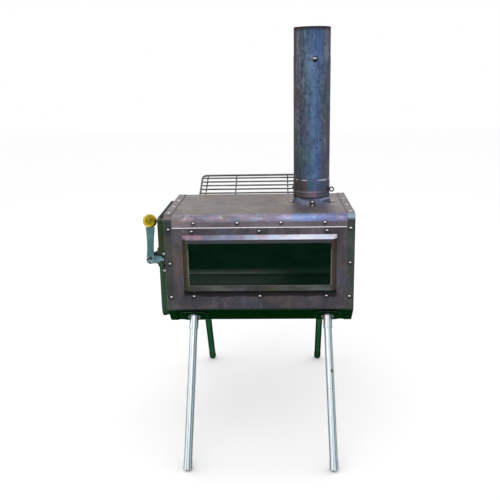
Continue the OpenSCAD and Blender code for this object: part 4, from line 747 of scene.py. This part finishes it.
plated = Finish("plated_leg_tube")
leg_lines = plated.noise(500, 3, stretch=(1, 0.08, 0.08))
leg_cloud = plated.noise(18, 5, stretch=(1, 0.4, 0.4))
# Painted reflections: light and dark stripes across the tube, set by which way each face looks.
leg_colour = plated.ramp(plated.step(plated.wander(plated.faces("X"), leg_cloud, 0.06), -1, 1), [
    (0.03, srgb(120, 132, 140)), (0.08, srgb(206, 216, 222)), (0.22, srgb(240, 248, 252)),
    (0.31, srgb(232, 242, 248)), (0.355, srgb(78, 92, 102)), (0.395, srgb(84, 98, 108)),
    (0.45, srgb(230, 243, 248)), (0.56, srgb(192, 202, 210)), (0.68, srgb(224, 234, 240)),
    (0.76, srgb(92, 112, 118)), (0.83, srgb(84, 104, 108)), (0.89, srgb(190, 202, 206)),
    (0.97, srgb(112, 128, 130))])
leg_colour = plated.stain(leg_colour, srgb(190, 196, 206), 0.25,
                          plated.step(leg_cloud, 0.54, 0.72))
leg_colour = plated.stain(leg_colour, srgb(206, 170, 160), 0.6,
                          plated.near(FRONT_SOCKETS[1:], 0.016, 0.036),
                          plated.step(plated.faces("X"), 0.1, -0.5))
# Painted shade: the sockets' downward faces are dark green.
leg_colour = plated.stain(leg_colour, srgb(26, 44, 34), 0.9,
                          plated.near(FRONT_SOCKETS, 0.016, 0.020),
                          plated.step(plated.faces("Z"), -0.60, -0.66))
button_rings = plated.near([button_spot(leg) for leg in LEGS], BUTTON_R, BUTTON_R + 0.0019)
leg_colour = plated.stain(leg_colour, srgb(66, 64, 62), 0.7, button_rings)
leg_colour = plated.stain(leg_colour, srgb(84, 88, 98), 0.5, plated.edges(0.0006))
leg_colour = plated.stain(leg_colour, srgb(58, 64, 66), 0.8,
                          plated.step(plated.xyz["Z"], 0.0060, 0.0020))
# The rear legs are painted dark green, as shade with a green reflection, and their glare is
# darkened to match.
behind = plated.step(plated.xyz["Y"], -0.04, 0.02)
rear_leg_shade = plated.mix(leg_cloud, srgb(18, 62, 34), srgb(62, 106, 78))
leg_colour = plated.stain(leg_colour, rear_leg_shade, 0.98, behind)
plated.glare(plated.mix(behind, srgb(255, 255, 255), srgb(30, 66, 44)))
plated.soften(0.0004)
plated.bump(leg_lines, 0.00006, 0.6)
plated.wear(leg_colour, plated.raised(0.14, leg_cloud, 0.22))
plated.put_on("leg_sockets", "leg_sleeves", "leg_feet",
              *["upper_leg_" + leg for leg in LEGS], *["lower_leg_" + leg for leg in LEGS])

root = Finish("dark_plate_steel", rough=0.35)
# The leg plates are painted dark green, as shade under the bevel, with a painted highlight along
# their edges.
root_colour = root.ramp(root.noise(60, 6), [(0.32, srgb(6, 26, 14)), (0.55, srgb(14, 38, 24)),
                                            (0.75, srgb(40, 60, 50))])
root_colour = root.stain(root_colour, srgb(150, 158, 158), 0.7, root.edges(0.0006))
root.soften(0.0004)
root.glare(srgb(170, 190, 178))
root.wear(root_colour)
root.put_on("leg_plates")

button = Finish("polished_button_steel", rough=0.12)
button.wear(button.mix(button.noise(300, 3), srgb(62, 52, 48), srgb(140, 128, 120)))
button.put_on(*["button_" + leg for leg in LEGS])

sprung = Finish("dark_spring_steel")
sprung.wear(sprung.mix(sprung.noise(90, 4), srgb(48, 46, 48), srgb(80, 78, 80)))
sprung.put_on("button_springs")

# ---------------------------------------------------------------- rear rack
# A folding shelf of drawn wire: a bent frame, six rods and four crossbars, spot welded and
# smoked to a brownish steel.
wire = Finish("smoked_rack_wire")
wire_cloud = wire.noise(60, 5, stretch=(0.3, 1, 1))
wire.bump(wire_cloud, 0.0004, 0.4)
wire_colour = wire.ramp(wire_cloud, [(0.30, srgb(88, 85, 83)), (0.50, srgb(120, 118, 116)),
                                     (0.75, srgb(166, 166, 166))])
# Painted shade: the wires' undersides are dark.
wire_colour = wire.mix(wire.step(wire.faces("Z"), 0.45, -0.20), wire_colour,
                       wire.mix(wire_cloud, srgb(26, 25, 24), srgb(64, 61, 60)))
wire.glare(srgb(150, 150, 150))
wire.wear(wire_colour, wire.raised(0.2, wire_cloud, 0.25))
wire.put_on("rack_frame", "rack_rods")

bar = Finish("bright_rack_bar", rough=0.25)
bar_cloud = bar.noise(80, 4, shift=3)
bar.bump(bar_cloud, 0.0003, 0.4)
bar.wear(bar.ramp(bar_cloud, [(0.30, srgb(170, 168, 166)), (0.52, srgb(206, 204, 202)),
                              (0.75, srgb(232, 232, 230))]))
bar.put_on("rack_crossbars")
